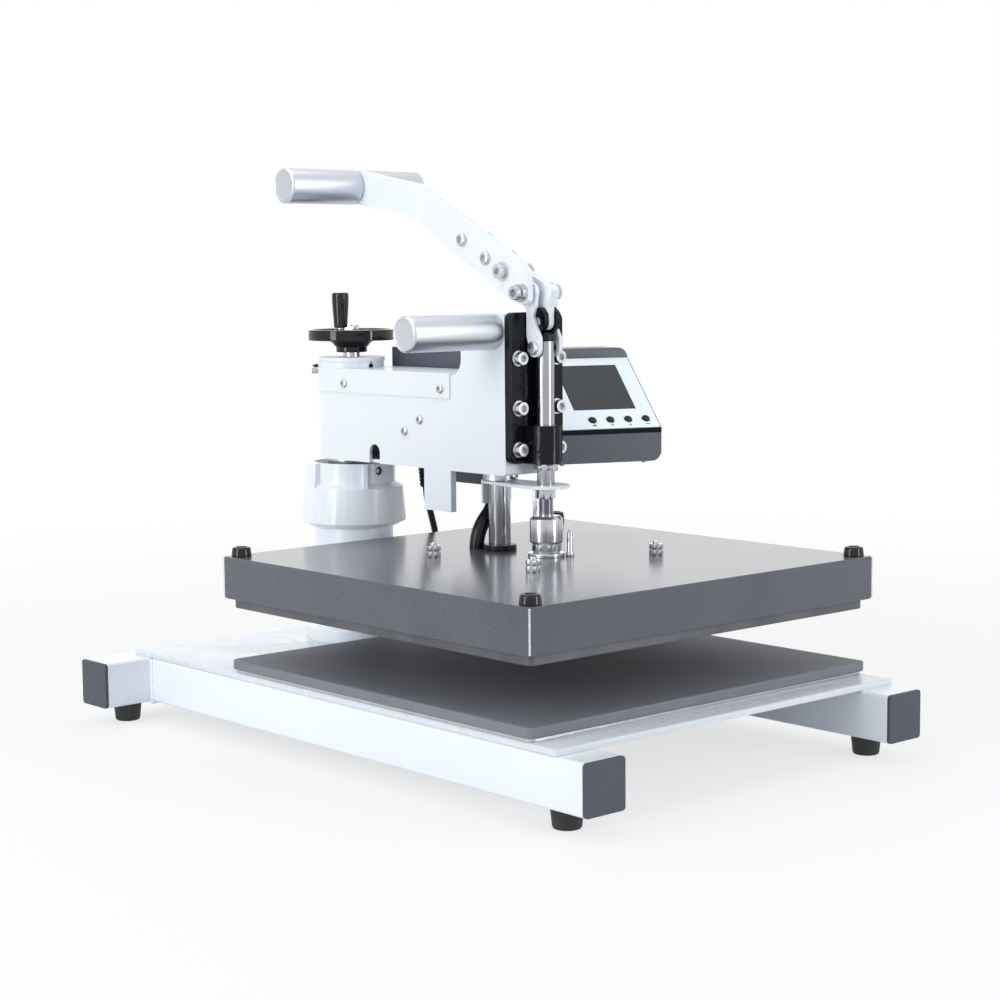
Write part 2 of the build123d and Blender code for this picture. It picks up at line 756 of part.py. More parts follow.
def drilled_grip(inner, outer):
    """A grip with the stud's blind hole from its inner end."""
    toward = 1 if inner > outer else -1
    hole_end = inner - toward * 30
    low = min(inner + toward, hole_end)
    high = max(inner + toward, hole_end)
    bar = cross_rod(grip_radius, min(inner, outer), max(inner, outer), grip_y, grip_z)
    bar = chamfer(bar.edges().filter_by(GeomType.CIRCLE), grip_bevel)
    return bar - cross_rod(grip_stud_radius, low, high, grip_y, grip_z)


save(drilled_grip(plate_left, plate_left - left_grip_length), "left_grip")
save(drilled_grip(plate_right, plate_right + right_grip_length), "right_grip")
save(cross_rod(grip_stud_radius, plate_left - 29, plate_right + 29, grip_y, grip_z), "grip_stud")

# ---- Toggle links: places are (y, z) from the fulcrum ----
link_outline = from_fulcrum([
    (crank_y - 8.8, crank_z + 1.0),
    (crank_y - 7.0, crank_z - 11.0),
    (1.4, 5.0),
    (-2.0, -3.0),
    (-7.5, -13.0),
    (-7.5, -crosshead_drop),
    (6.0, -crosshead_drop),
    (9.2, -12.0),
    (9.2, 9.0),
    (14.0, 16.0),
    (14.0, crank_z),
])
link_radii = [0, 6, 4, 6, 6, 0, 0, 8, 4, 4, 0]


def toggle_link(left, right):
    """One S-shaped link between the crank pin and the press shaft's pin."""
    body = side_plate(FilletPolyline(*link_outline, radius=link_radii, close=True), left, right)
    body += cross_rod(link_upper_radius, left, right, pivot_y, pivot_z)
    body += cross_rod(link_lower_radius, left, right, shaft_y, crosshead_z)
    body -= cross_rod(lever_bolt_radius + running_clearance, left - 1, right + 1, pivot_y, pivot_z)
    return body - cross_rod(link_pin_radius, left - 1, right + 1, shaft_y, crosshead_z)


def link_pin(side):
    """A riveted pin with a round head, in a link's lower eye."""
    shank = cross_rod(link_pin_radius, link_inner, link_outer + 0.5, 0, 0)
    head = cross_rod(link_pin_head_radius, link_outer, link_outer + link_pin_head, 0, 0)
    head = fillet(head.edges().sort_by(Axis.X)[-1], 1.2)
    turn = 0 if side > 0 else 180
    return Pos(0, shaft_y, crosshead_z) * Rot(0, 0, turn) * (shank + head)


save(Compound(children=[toggle_link(-link_outer, -link_inner), toggle_link(link_inner, link_outer)]), "toggle_links")
save(Compound(children=[link_pin(-1), link_pin(1)]), "link_pins")

# ---- Press shaft, coupling, yoke and guide post ----
save(rod(shaft_head_radius, shaft_top, shaft_head_top, 0, shaft_y), "shaft_head")
shaft_tail = yoke_bottom - lock_nut_height
press_shaft = rod(shaft_radius, yoke_bottom, shaft_top, 0, shaft_y)
press_shaft += rod(rod_radius, coupling_bottom, yoke_bottom, 0, shaft_y)
save(press_shaft, "press_shaft")
coupling_top = coupling_bottom + coupling_height
coupling = rod(coupling_radius, coupling_bottom, coupling_top, 0, shaft_y)
coupling = chamfer(coupling.edges().sort_by(Axis.Z)[-1], coupling_bevel)
coupling -= rod(rod_radius, coupling_bottom - 1, coupling_top + 1, 0, shaft_y)
gauge_rod = rod(gauge_rod_radius, coupling_top - 1, yoke_bottom, gauge_rod_x, gauge_rod_y)
save(coupling + gauge_rod, "shaft_coupling")


def press_flange(radius, height, bore, y):
    """A round foot on the heat platen's cover, with a bore for its shaft."""
    return rod(radius, cover_top, cover_top + height, 0, y) - rod(bore, cover_top - 1, cover_top + height + 1, 0, y)


shaft_flange = rod(coupling_flange_radius, cover_top, cover_top + coupling_flange, 0, shaft_y)
post_flange = press_flange(guide_flange_radius, guide_flange_height, guide_radius, guide_y)
save(Compound(children=[shaft_flange, post_flange]), "platen_flanges")
coupling_nut = hexagon(coupling_nut_flats, cover_top + coupling_flange, coupling_bottom, 0, shaft_y)
lock_nut = hexagon(lock_nut_flats, shaft_tail, yoke_bottom, 0, shaft_y)
lock_nut -= rod(rod_radius, shaft_tail - 1, yoke_bottom + 1, 0, shaft_y)
save(Compound(children=[coupling_nut, lock_nut]), "shaft_nuts")

yoke_top = yoke_bottom + yoke_thickness
yoke_rounds = [Pos(0, guide_y) * Circle(yoke_post_radius), Pos(0, shaft_y) * Circle(yoke_shaft_radius)]
yoke = Pos(0, 0, yoke_bottom) * extrude(make_hull(Sketch(children=yoke_rounds).edges()), yoke_thickness)
yoke += block(clamp_left, clamp_right, clamp_y, clamp_y + clamp_sheet, yoke_bottom - clamp_drop, yoke_top)
yoke -= rod(shaft_radius, yoke_bottom - 1, yoke_top + 1, 0, shaft_y)
yoke -= rod(guide_radius, yoke_bottom - 1, yoke_top + 1, 0, guide_y)
save(yoke, "yoke_plate")
save(rod(guide_radius, cover_top, guide_top, 0, guide_y), "guide_post")

# ---- Heat platen ----
cover = slab(cover_size, cover_size, cover_corner, cover_bottom, cover_top, platen_y)
cavity_size = cover_size - 2 * cover_wall
cover -= slab(cavity_size, cavity_size, cover_corner - cover_wall / 2, cover_bottom - 1,
              cover_top - cover_wall, platen_y)
save(cover, "platen_cover")
plate_size = cover_size - 2 * heat_plate_gap - 2 * cover_wall
heat_plate = slab(plate_size, plate_size, heat_plate_corner, heat_plate_bottom, heat_plate_top, platen_y)
element_z = heat_plate_top - element_radius - 2.0


def element_path():
    """The hairpin line of the heating element, along the top of the plate."""
    reach = plate_size / 2 - element_margin
    runs = int(2 * reach // element_pitch) + 1
    start = -(runs - 1) * element_pitch / 2
    points = []
    for run in range(runs):
        x = start + run * element_pitch
        ends = (-reach, reach) if run % 2 == 0 else (reach, -reach)
        for y in ends:
            points.append((x, platen_y + y, element_z))
    radii = [element_pitch / 2 - 0.5] * (len(points) - 2)
    return FilletPolyline(*points, radius=radii)


element_line = element_path()
element_start = element_line @ 0
element_plane = Plane(origin=element_start, z_dir=element_line % 0)
element = sweep(element_plane * Circle(element_radius), path=element_line)
heat_plate -= element
save(heat_plate, "heat_plate")
save(element, "heating_element")
insulation_size = cavity_size - 6
insulation_top = heat_plate_top + insulation_thickness
save(slab(insulation_size, insulation_size, cover_corner, heat_plate_top, insulation_top, platen_y), "insulation_sheet")


def corner_cap(x, y):
    """A black domed cap on a corner of the heat platen."""
    cap = rod(corner_cap_radius, cover_top, cover_top + corner_cap_height, x, y)
    return fillet(cap.edges().sort_by(Axis.Z)[-1], 3.0)


cap_spread = cover_size / 2 - corner_cap_inset
corner_places = [(sx * cap_spread, platen_y + sy * cap_spread) for sx in (-1, 1) for sy in (-1, 1)]
save(Compound(children=[corner_cap(x, y) for x, y in corner_places]), "corner_caps")


def platen_stud(x, y):
    """A stud with its nut, which hangs the heat plate in its cover."""
    nut = hexagon(stud_nut_flats, cover_top, cover_top + stud_nut_height, x, y)
    return nut + rod(stud_radius, cover_top, cover_top + stud_height, x, y)


stud_places = [
    (sx * stud_spread, platen_y + sy * stud_spread_y) for sx in (-1, 1) for sy in (-1, 1)
]
probe = rod(probe_radius, cover_top, cover_top + probe_height, probe_x, probe_y)
save(Compound(children=[platen_stud(x, y) for x, y in stud_places] + [probe]), "platen_studs")

sleeve_y = clamp_y + clamp_sheet + sleeve_radius
sleeve_route = [
    (-9.0, sleeve_y, cover_top),
    (-9.0, sleeve_y, cover_top + 16.0),
    (14.0, sleeve_y, yoke_bottom - 20.0),
    (14.0, sleeve_y, yoke_bottom),
]


def rounded_radii(points):
    """The arc radius at each inner point: as large as its two runs allow."""
    radii = []
    for before, here, after in zip(points, points[1:], points[2:]):
        first = Vector(*here) - Vector(*before)
        second = Vector(*after) - Vector(*here)
        turn = math.radians(first.get_angle(second))
        radii.append(0.45 * min(first.length, second.length) / math.tan(turn / 2))
    return radii


def cord_tube(points, radius):
    """A round tube along straight runs joined by tangent arcs, and its line."""
    line = FilletPolyline(*points, radius=rounded_radii(points))
    plane = Plane(origin=line @ 0, z_dir=line % 0)
    return sweep(plane * Circle(radius), path=line), line


heater_sleeve = cord_tube(sleeve_route, sleeve_radius)[0]
save(heater_sleeve, "heater_sleeve")

# ---- Handwheel and its screw ----
hub_bottom = wheel_bottom - wheel_hub_drop
web_top = wheel_bottom + wheel_web
wheel_profile = [
    (screw_thread_radius, hub_bottom),
    (wheel_hub_radius, hub_bottom),
    (wheel_neck_radius, hub_bottom + 4),
    (wheel_bowl_radius, wheel_bottom),
    (wheel_radius, wheel_bottom),
    (wheel_radius, wheel_top),
    (wheel_radius - wheel_rim, wheel_top),
    (wheel_radius - wheel_rim, web_top),
    (wheel_hub_radius + 2, web_top),
    (wheel_hub_radius, wheel_top - 1),
    (screw_thread_radius, wheel_top - 1),
]
wheel_face = Plane.XZ * make_face(Polyline(*wheel_profile, close=True))
wheel = Pos(0, column_y, 0) * revolve(wheel_face, Axis.Z)
stem_turn = math.radians(grip_turn)
stem_x = crank_radius * math.cos(stem_turn)
stem_y = column_y + crank_radius * math.sin(stem_turn)
wheel += rod(crank_grip_radius, wheel_bottom, wheel_top - 1, stem_x, stem_y)
wheel -= rod(crank_stem_radius, wheel_bottom - 1, wheel_top + 1, stem_x, stem_y)
pressure_screw = rod(screw_thread_radius, screw_bottom, wheel_top - 1, 0, column_y)
pressure_screw += rod(screw_collar_radius, turret_top - screw_collar_height - 0.3, turret_top - 0.3, 0, column_y)
pressure_screw += hexagon(wheel_nut_flats, wheel_top - 1, wheel_top + 4, 0, column_y)
save(pressure_screw, "pressure_screw")
grip_bottom = wheel_top - 1 + crank_stem_rise
grip_top = grip_bottom + crank_grip_height
crank_stem = rod(crank_stem_radius, wheel_bottom, grip_top - 3, stem_x, stem_y)
save(Compound(children=[wheel, crank_stem]), "handwheel")
crank_grip = Pos(stem_x, stem_y, grip_bottom + crank_grip_height / 2) * Cone(
    crank_grip_neck, crank_grip_radius, crank_grip_height
)
crank_grip = fillet(crank_grip.edges().sort_by(Axis.Z)[-1], 3.0)
crank_grip -= rod(crank_stem_radius + running_clearance, grip_bottom - 1, grip_top - 2.8, stem_x, stem_y)
save(crank_grip, "crank_grip")

# ---- Control box ----
box_top = box_bottom + box_height
seam_z = box_bottom + box_chin
slope_top_z = seam_z + box_slope_z
slope_length = math.hypot(box_slope_y, box_slope_z)
slope_tilt = math.degrees(math.atan2(box_slope_y, box_slope_z))
box_place = Pos(box_left, box_front, 0) * Rot(0, 0, -box_turn)
front_outline = [
    (0, box_bottom),
    (0, seam_z),
    (box_slope_y, slope_top_z),
    (box_slope_y, box_top),
    (box_depth, box_top),
    (box_depth, box_bottom),
]
front_cavity = [
    (box_wall, box_bottom + box_wall),
    (box_wall, seam_z - panel_ledge_drop),
    (box_slope_y + box_wall, slope_top_z - panel_ledge_drop),
    (box_slope_y + box_wall, box_top - box_wall),
    (box_depth - box_wall, box_top - box_wall),
    (box_depth - box_wall, box_bottom + box_wall),
]


def on_panel(across, rise, depth):
    """A place on the turned, slanted front: from its left end, up the slope and in behind its face."""
    lean = math.radians(slope_tilt)
    inward = rise * math.sin(lean) + depth * math.cos(lean)
    z = seam_z + rise * math.cos(lean) - depth * math.sin(lean)
    return box_place * Pos(across, inward, z) * Rot(-slope_tilt, 0, 0)


front_box = side_plate(Polyline(*front_outline, close=True), 0, box_width)
front_box = fillet(front_box.edges().filter_by(Axis.Y).group_by(Axis.X)[-1], box_corner)
control_box = box_place * front_box
control_box += block(box_left, side_box_right, side_box_front, box_back, box_bottom, box_top)
control_box -= box_place * side_plate(Polyline(*front_cavity, close=True), box_wall, box_width - box_corner)
control_box -= block(
    box_left + box_wall, side_box_right - box_wall, side_box_front + box_wall, box_back - box_wall,
    box_bottom + box_wall, box_top - box_wall,
)
panel_width = box_width - 2 * panel_inset
panel_height = slope_length - 2 * panel_inset
panel_across = box_width / 2
panel_rise = slope_length / 2
control_box -= on_panel(panel_across, panel_rise, 0) * Box(panel_width, 2 * panel_thickness, panel_height)
control_box -= on_panel(panel_across, panel_rise, 3) * Box(panel_width - 6, 6, panel_height - 6)
control_box -= rod(gland_radius - 2, box_bottom - 1, box_bottom + box_wall + 1, gland_x, gland_y)
mount_y = [60.0, 150.0]
for y in mount_y:
    control_box += cross_rod(7, half_arm, box_left, y, box_bottom + 30)
control_box += block(box_left, box_left + lug_sheet, lug_front, lug_back, box_bottom - lug_drop, box_bottom + 1)
save(control_box, "control_box")

panel = on_panel(panel_across, panel_rise, panel_thickness / 2) * Box(panel_width, panel_thickness, panel_height)
panel -= on_panel(display_across, display_rise, 0) * Box(display_width, 2 * display_thickness, display_height)
panel -= on_panel(display_across, display_rise, 0) * Box(display_width - 4, 10, display_height - 4)
button_places = [button_across + (index - 1.5) * button_spacing for index in range(4)]
for across in button_places:
    panel -= on_panel(across, button_rise, 0) * Rot(90, 0, 0) * Cylinder(button_radius + button_play, 20)
save(panel, "control_panel")
display = on_panel(display_across, display_rise, display_thickness / 2) * Box(
    display_width - 0.2, display_thickness, display_height - 0.2
)
save(display, "display_window")
board = on_panel(panel_across, panel_rise, 9) * Box(panel_width - 18, board_thickness, panel_height - 18)
save(board, "circuit_board")
button_names = ["menu_button", "down_button", "up_button", "power_button"]
for name, across in zip(button_names, button_places):
    middle = button_length / 2 - button_proud
    save(on_panel(across, button_rise, middle) * Rot(90, 0, 0) * Cylinder(button_radius, button_length), name)

gland = rod(gland_radius, box_bottom - 6, box_bottom, gland_x, gland_y)
gland += Pos(gland_x, gland_y, (gland_tip + box_bottom - 6) / 2) * Cone(
    lead_radius + 1, gland_radius - 2, box_bottom - 6 - gland_tip
)
gland += rod(gland_radius - 2, box_bottom, box_bottom + box_wall + 2, gland_x, gland_y)
gland -= rod(lead_radius, gland_tip, box_bottom + 10, gland_x, gland_y)
save(gland, "lead_gland")

# ---- Mains lead: the free run, the coil and the plug ----
floor_line = lead_radius
coil_x = lead_route[-1][0] - coil_outer
coil_y = lead_route[-1][1] + coil_gap_y + lead_diameter


def half_turn(start, end, heading):
    """A half turn between two points as two tangent arcs, which may climb between layers."""
    start = Vector(*start)
    end = Vector(*end)
    span = (end - start) * 0.5
    crest = start + span + Vector(0, heading, 0) * span.length
    first = TangentArc(start, crest, tangent=(0, heading, 0))
    second = TangentArc(crest, end, tangent=first % 1)
    return [first, second]


def coil_line():
    """The put-away lead: it spirals in on the floor, climbs a layer and spirals out on top."""
    high = floor_line + coil_layer
    steps = [(-coil_pitch / 2, floor_line, floor_line)] * (2 * coil_turns)
    steps += [(0.0, floor_line, high)]
    steps += [(coil_pitch / 2, high, high)] * (2 * coil_turns)
    reach = coil_outer
    side = 1
    lead_in = (coil_x + reach, coil_y - lead_diameter, floor_line)
    edges = [Line(lead_in, (coil_x + reach, coil_y, floor_line))]
    for change, low, top in steps:
        start = (coil_x + side * reach, coil_y, low)
        reach += change
        side = -side
        edges += half_turn(start, (coil_x + side * reach, coil_y, top), -side)
    tail = (coil_x + side * reach, coil_y + side * coil_tail, high)
    edges.append(Line((coil_x + side * reach, coil_y, high), tail))
    return Wire(edges), lead_in, tail


coil_wire, coil_start, coil_end = coil_line()
coil_plane = Plane(origin=coil_wire @ 0, z_dir=coil_wire % 0)
lead_coil = sweep(coil_plane * Circle(lead_radius), path=coil_wire)
save(lead_coil, "lead_coil")


def least_coil_gap():
    """The least gap between turns of the coil, from points along its line."""
    count = 1500
    points = [coil_wire.position_at(index / count) for index in range(count + 1)]
    apart = int(count * 4 * lead_diameter / coil_wire.length)
    least = coil_outer
    for first in range(0, count, 2):
        for second in range(first + apart, count + 1, 2):
            least = min(least, (points[first] - points[second]).length)
    return least - lead_diameter


print("coil: length", round(coil_wire.length), "mm, least gap", round(least_coil_gap(), 2), "mm")

lead_points = [(gland_x, gland_y, gland_tip - gland_clearance)] + lead_route + [coil_start]
mains_lead, lead_line = cord_tube(lead_points, lead_radius)
print("lead radii", [round(radius) for radius in rounded_radii(lead_points)])
print("lead length", round(lead_line.length), "mm, volume ratio",
      round(mains_lead.volume / (lead_line.length * math.pi * lead_radius ** 2), 3))
save(mains_lead, "mains_lead")

plug_x, plug_back, plug_z = coil_end
plug_front = plug_back - plug_length
mains_plug = Pos(plug_x, plug_back, plug_z) * Rot(90, 0, 0) * extrude(
    RectangleRounded(plug_width, plug_height, plug_corner), plug_length
)
mains_plug = chamfer(mains_plug.faces().sort_by(Axis.Y)[0].edges(), plug_bevel)
for side in (-1, 1):
    pin_x = plug_x + side * plug_pin_spacing / 2
    mains_plug += depth_rod(plug_pin_radius, plug_front - plug_pin_length, plug_front + 1, pin_x, plug_z)
save(mains_plug, "mains_plug")
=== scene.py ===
import json
import math
from functools import partial

import bmesh
import bpy
from bpy.props import FloatProperty, FloatVectorProperty, IntProperty, PointerProperty
from bpy.types import Node, NodeSocket, Operator, Panel, PropertyGroup
from mathutils import Matrix, Vector


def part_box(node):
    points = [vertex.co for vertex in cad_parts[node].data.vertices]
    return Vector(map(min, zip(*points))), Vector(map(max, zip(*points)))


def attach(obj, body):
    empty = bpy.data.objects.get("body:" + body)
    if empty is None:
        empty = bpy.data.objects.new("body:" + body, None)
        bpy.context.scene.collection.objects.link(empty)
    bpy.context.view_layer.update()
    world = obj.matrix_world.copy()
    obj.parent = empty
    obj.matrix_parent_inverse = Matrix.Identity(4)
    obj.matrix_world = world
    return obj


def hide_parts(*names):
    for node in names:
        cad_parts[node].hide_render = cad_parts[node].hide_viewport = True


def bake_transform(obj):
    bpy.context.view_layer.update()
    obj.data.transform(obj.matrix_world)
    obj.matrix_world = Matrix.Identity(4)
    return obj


bl_info = {
    "name": "Tabletop Swing-away Press",
    "version": (1, 0, 0),
    "blender": (4, 5, 0),
    "location": "3D View > Sidebar > Press",
    "description": "Dresses the packed swing-away press with detailed pieces and finishes",
    "category": "Object",
}

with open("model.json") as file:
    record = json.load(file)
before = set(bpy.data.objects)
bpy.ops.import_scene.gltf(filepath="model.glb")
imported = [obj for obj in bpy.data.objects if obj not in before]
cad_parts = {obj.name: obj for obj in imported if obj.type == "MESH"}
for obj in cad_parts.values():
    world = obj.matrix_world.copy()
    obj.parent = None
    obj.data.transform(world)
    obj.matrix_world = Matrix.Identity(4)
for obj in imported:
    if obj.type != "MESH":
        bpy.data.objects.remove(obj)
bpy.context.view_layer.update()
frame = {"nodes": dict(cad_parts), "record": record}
BODY_OF = {node: body for body, nodes in frame["record"]["behaviour"]["bodies"].items() for node in nodes}

# Shapes are written in millimetres; the scene is in metres.
MM = 0.001
UP, DOWN, FORWARD, LEFT, RIGHT = (0, 0, 1), (0, 0, -1), (0, -1, 0), (-1, 0, 0), (1, 0, 0)
SIDES = (-1, 1)
CORNERS = [(sx, sy) for sx in SIDES for sy in SIDES]


# ---- Sizes and finishes that a user would change ----
def length_property(name, description, default):
    """A length in metres."""
    return FloatProperty(name=name, description=description, default=default, unit="LENGTH")


def colour_property(name, description, default):
    """A colour swatch."""
    return FloatVectorProperty(name=name, description=description, subtype="COLOR", size=3,
                               min=0.0, max=1.0, default=default)


class PressSizes(PropertyGroup):
    """Edge breaks and small details that the solids leave plain."""

    tube_edge: length_property("Tube edge", "Break on the cut ends of the base tubes", 0.0006)
    sheet_edge: length_property("Sheet edge", "Round on the edges of the painted sheet parts", 0.0007)
    casting_edge: length_property("Casting edge", "Round on the edges of the head casting", 0.0014)
    cover_edge: length_property("Platen cover edge", "Round on the folded edges of the platen's cover", 0.0011)
    moulding_edge: length_property("Moulding edge", "Round on the edges of the control box", 0.0012)
    pad_edge: length_property("Pad edge", "Round on the silicone pad's edges", 0.0016)
    weld_width: length_property("Weld width", "Width of the weld beads on the base", 0.0042)
    seam_width: length_property("Cover seam width", "Width of the weld beads on the platen cover's corners", 0.0020)
    weld_pitch: length_property("Weld pitch", "Distance between the ripples of a weld bead", 0.0022)
    thread_pitch: length_property("Thread pitch", "Distance between the turns shown on a stud's thread", 0.001)
    relief_rings: IntProperty(
        name="Strain relief rings", description="Rings round the strain relief of the mains lead",
        default=8, min=3, max=16)


class PressFinishes(PropertyGroup):
    """The colours of the press's paints, plastics and metals."""

    paint: colour_property("Frame paint", "Semi-gloss paint on the base, column, arm and lever", (0.80, 0.85, 0.92))
    platen: colour_property("Platen paint", "Speckled gloss paint on the platen's cover", (0.084, 0.090, 0.112))
    box: colour_property("Box paint", "Paint on the control box", (0.086, 0.098, 0.124))
    panel: colour_property("Panel film", "Printed film on the control panel", (0.80, 0.90, 0.97))
    display: colour_property("Display", "The display's window", (0.050, 0.055, 0.062))
    pad: colour_property("Pad", "Silicone of the lower pad", (0.190, 0.200, 0.235))
    plugs: colour_property("Tube plugs", "Plastic plugs in the ends of the tubes", (0.048, 0.058, 0.078))
    casting: colour_property("Casting paint", "Gloss paint on the rough head casting", (0.005, 0.006, 0.009))
    phenolic: colour_property("Handwheel", "Polished plastic of the handwheel", (0.004, 0.004, 0.006))
    rubber: colour_property("Rubber", "Feet, hose and mains lead", (0.016, 0.017, 0.019))
    aluminium: colour_property("Aluminium", "Grips and carrying handle", (0.60, 0.63, 0.68))
    steel: colour_property("Ground steel", "Shafts and posts", (0.37, 0.38, 0.41))
    zinc: colour_property("Zinc plate", "Screws, nuts, links and the coupling", (0.54, 0.55, 0.58))


# ---- Finishes ----
def add_node(tree, kind, inputs=None, **settings):
    """Add a node with its settings; an input is a value, an output, or a node that stands for its first output."""
    made = tree.nodes.new(kind)
    for key, value in settings.items():
        setattr(made, key, value)
    for name, source in (inputs or {}).items():
        if isinstance(source, Node):
            source = source.outputs[0]
        if isinstance(source, NodeSocket):
            tree.links.new(source, made.inputs[name])
        else:
            made.inputs[name].default_value = source
    return made


def tone(colour, factor):
    """A colour made lighter or darker, as RGBA."""
    return tuple(min(1.0, channel * factor) for channel in colour) + (1.0,)


def surface(name, colour, strength=1.0, metallic=0.0, roughness=0.4, spread=0.06, shade=0.08, broad=14.0,
            grain=900.0, grain_bump=0.1, grain_depth=0.0001, stretch=None, coat=0.0, coat_roughness=0.06, lumps=0.0,
            lump_scale=70.0, speckle=0.0, speckle_scale=1600.0, shine=0.5):
    """A finish with broad shading, a fine grain in its gloss and relief, and optional speckle and lumps."""
    material = bpy.data.materials.new(name)
    material.use_nodes = True
    node = partial(add_node, material.node_tree)
    join = material.node_tree.links.new
    shader = material.node_tree.nodes["Principled BSDF"].inputs
    for socket, value in (("Metallic", metallic), ("Coat Weight", coat), ("Coat Roughness", coat_roughness),
                          ("Specular IOR Level", shine)):
        shader[socket].default_value = value
    coords = node("ShaderNodeTexCoord").outputs["Object"]

    def noise(scale, detail, vector=coords, rough=0.5):
        return node("ShaderNodeTexNoise", {"Scale": scale, "Detail": detail, "Roughness": rough, "Vector": vector})

    def ranged(value, low, high, from_low=0.3, from_high=0.7):
        """A texture's value mapped to a range."""
        return node("ShaderNodeMapRange", {"Value": value, "From Min": from_low, "From Max": from_high,
                                           "To Min": low, "To Max": high})

    def blend(factor, first, second):
        """A colour between two, by a factor."""
        mix = node("ShaderNodeMix", {"Factor": factor}, data_type="RGBA")
        ends = [socket for socket in mix.inputs if socket.type == "RGBA"]
        for socket, value in zip(ends, (first, second)):
            if isinstance(value, NodeSocket):
                join(value, socket)
            else:
                socket.default_value = value
        return next(socket for socket in mix.outputs if socket.type == "RGBA")

    colour = tuple(strength * part for part in colour)
    vector = node("ShaderNodeMapping", {"Scale": stretch, "Vector": coords}) if stretch else coords
    fine = noise(grain, 3.0, vector)
    base = blend(ranged(noise(broad, 3.0), 0.0, 1.0), tone(colour, 1.0 - shade), tone(colour, 1.0 + shade * 0.5))
    if speckle:
        dots = noise(speckle_scale, 1.0, rough=0.7)
        base = blend(ranged(dots, 0.0, 1.0, 0.52, 0.72), base, tone(colour, 1.0 + speckle))
    join(base, shader["Base Color"])
    join(ranged(fine, roughness - spread, roughness + spread).outputs[0], shader["Roughness"])
    normal = node("ShaderNodeBump", {"Strength": grain_bump, "Distance": grain_depth, "Height": fine})
    if lumps:
        normal = node("ShaderNodeBump", {"Strength": lumps, "Distance": 0.0012, "Height": noise(lump_scale, 2.0),
                                         "Normal": normal})
    join(normal.outputs[0], shader["Normal"])
    if coat:
        join(normal.outputs[0], shader["Coat Normal"])
    return material


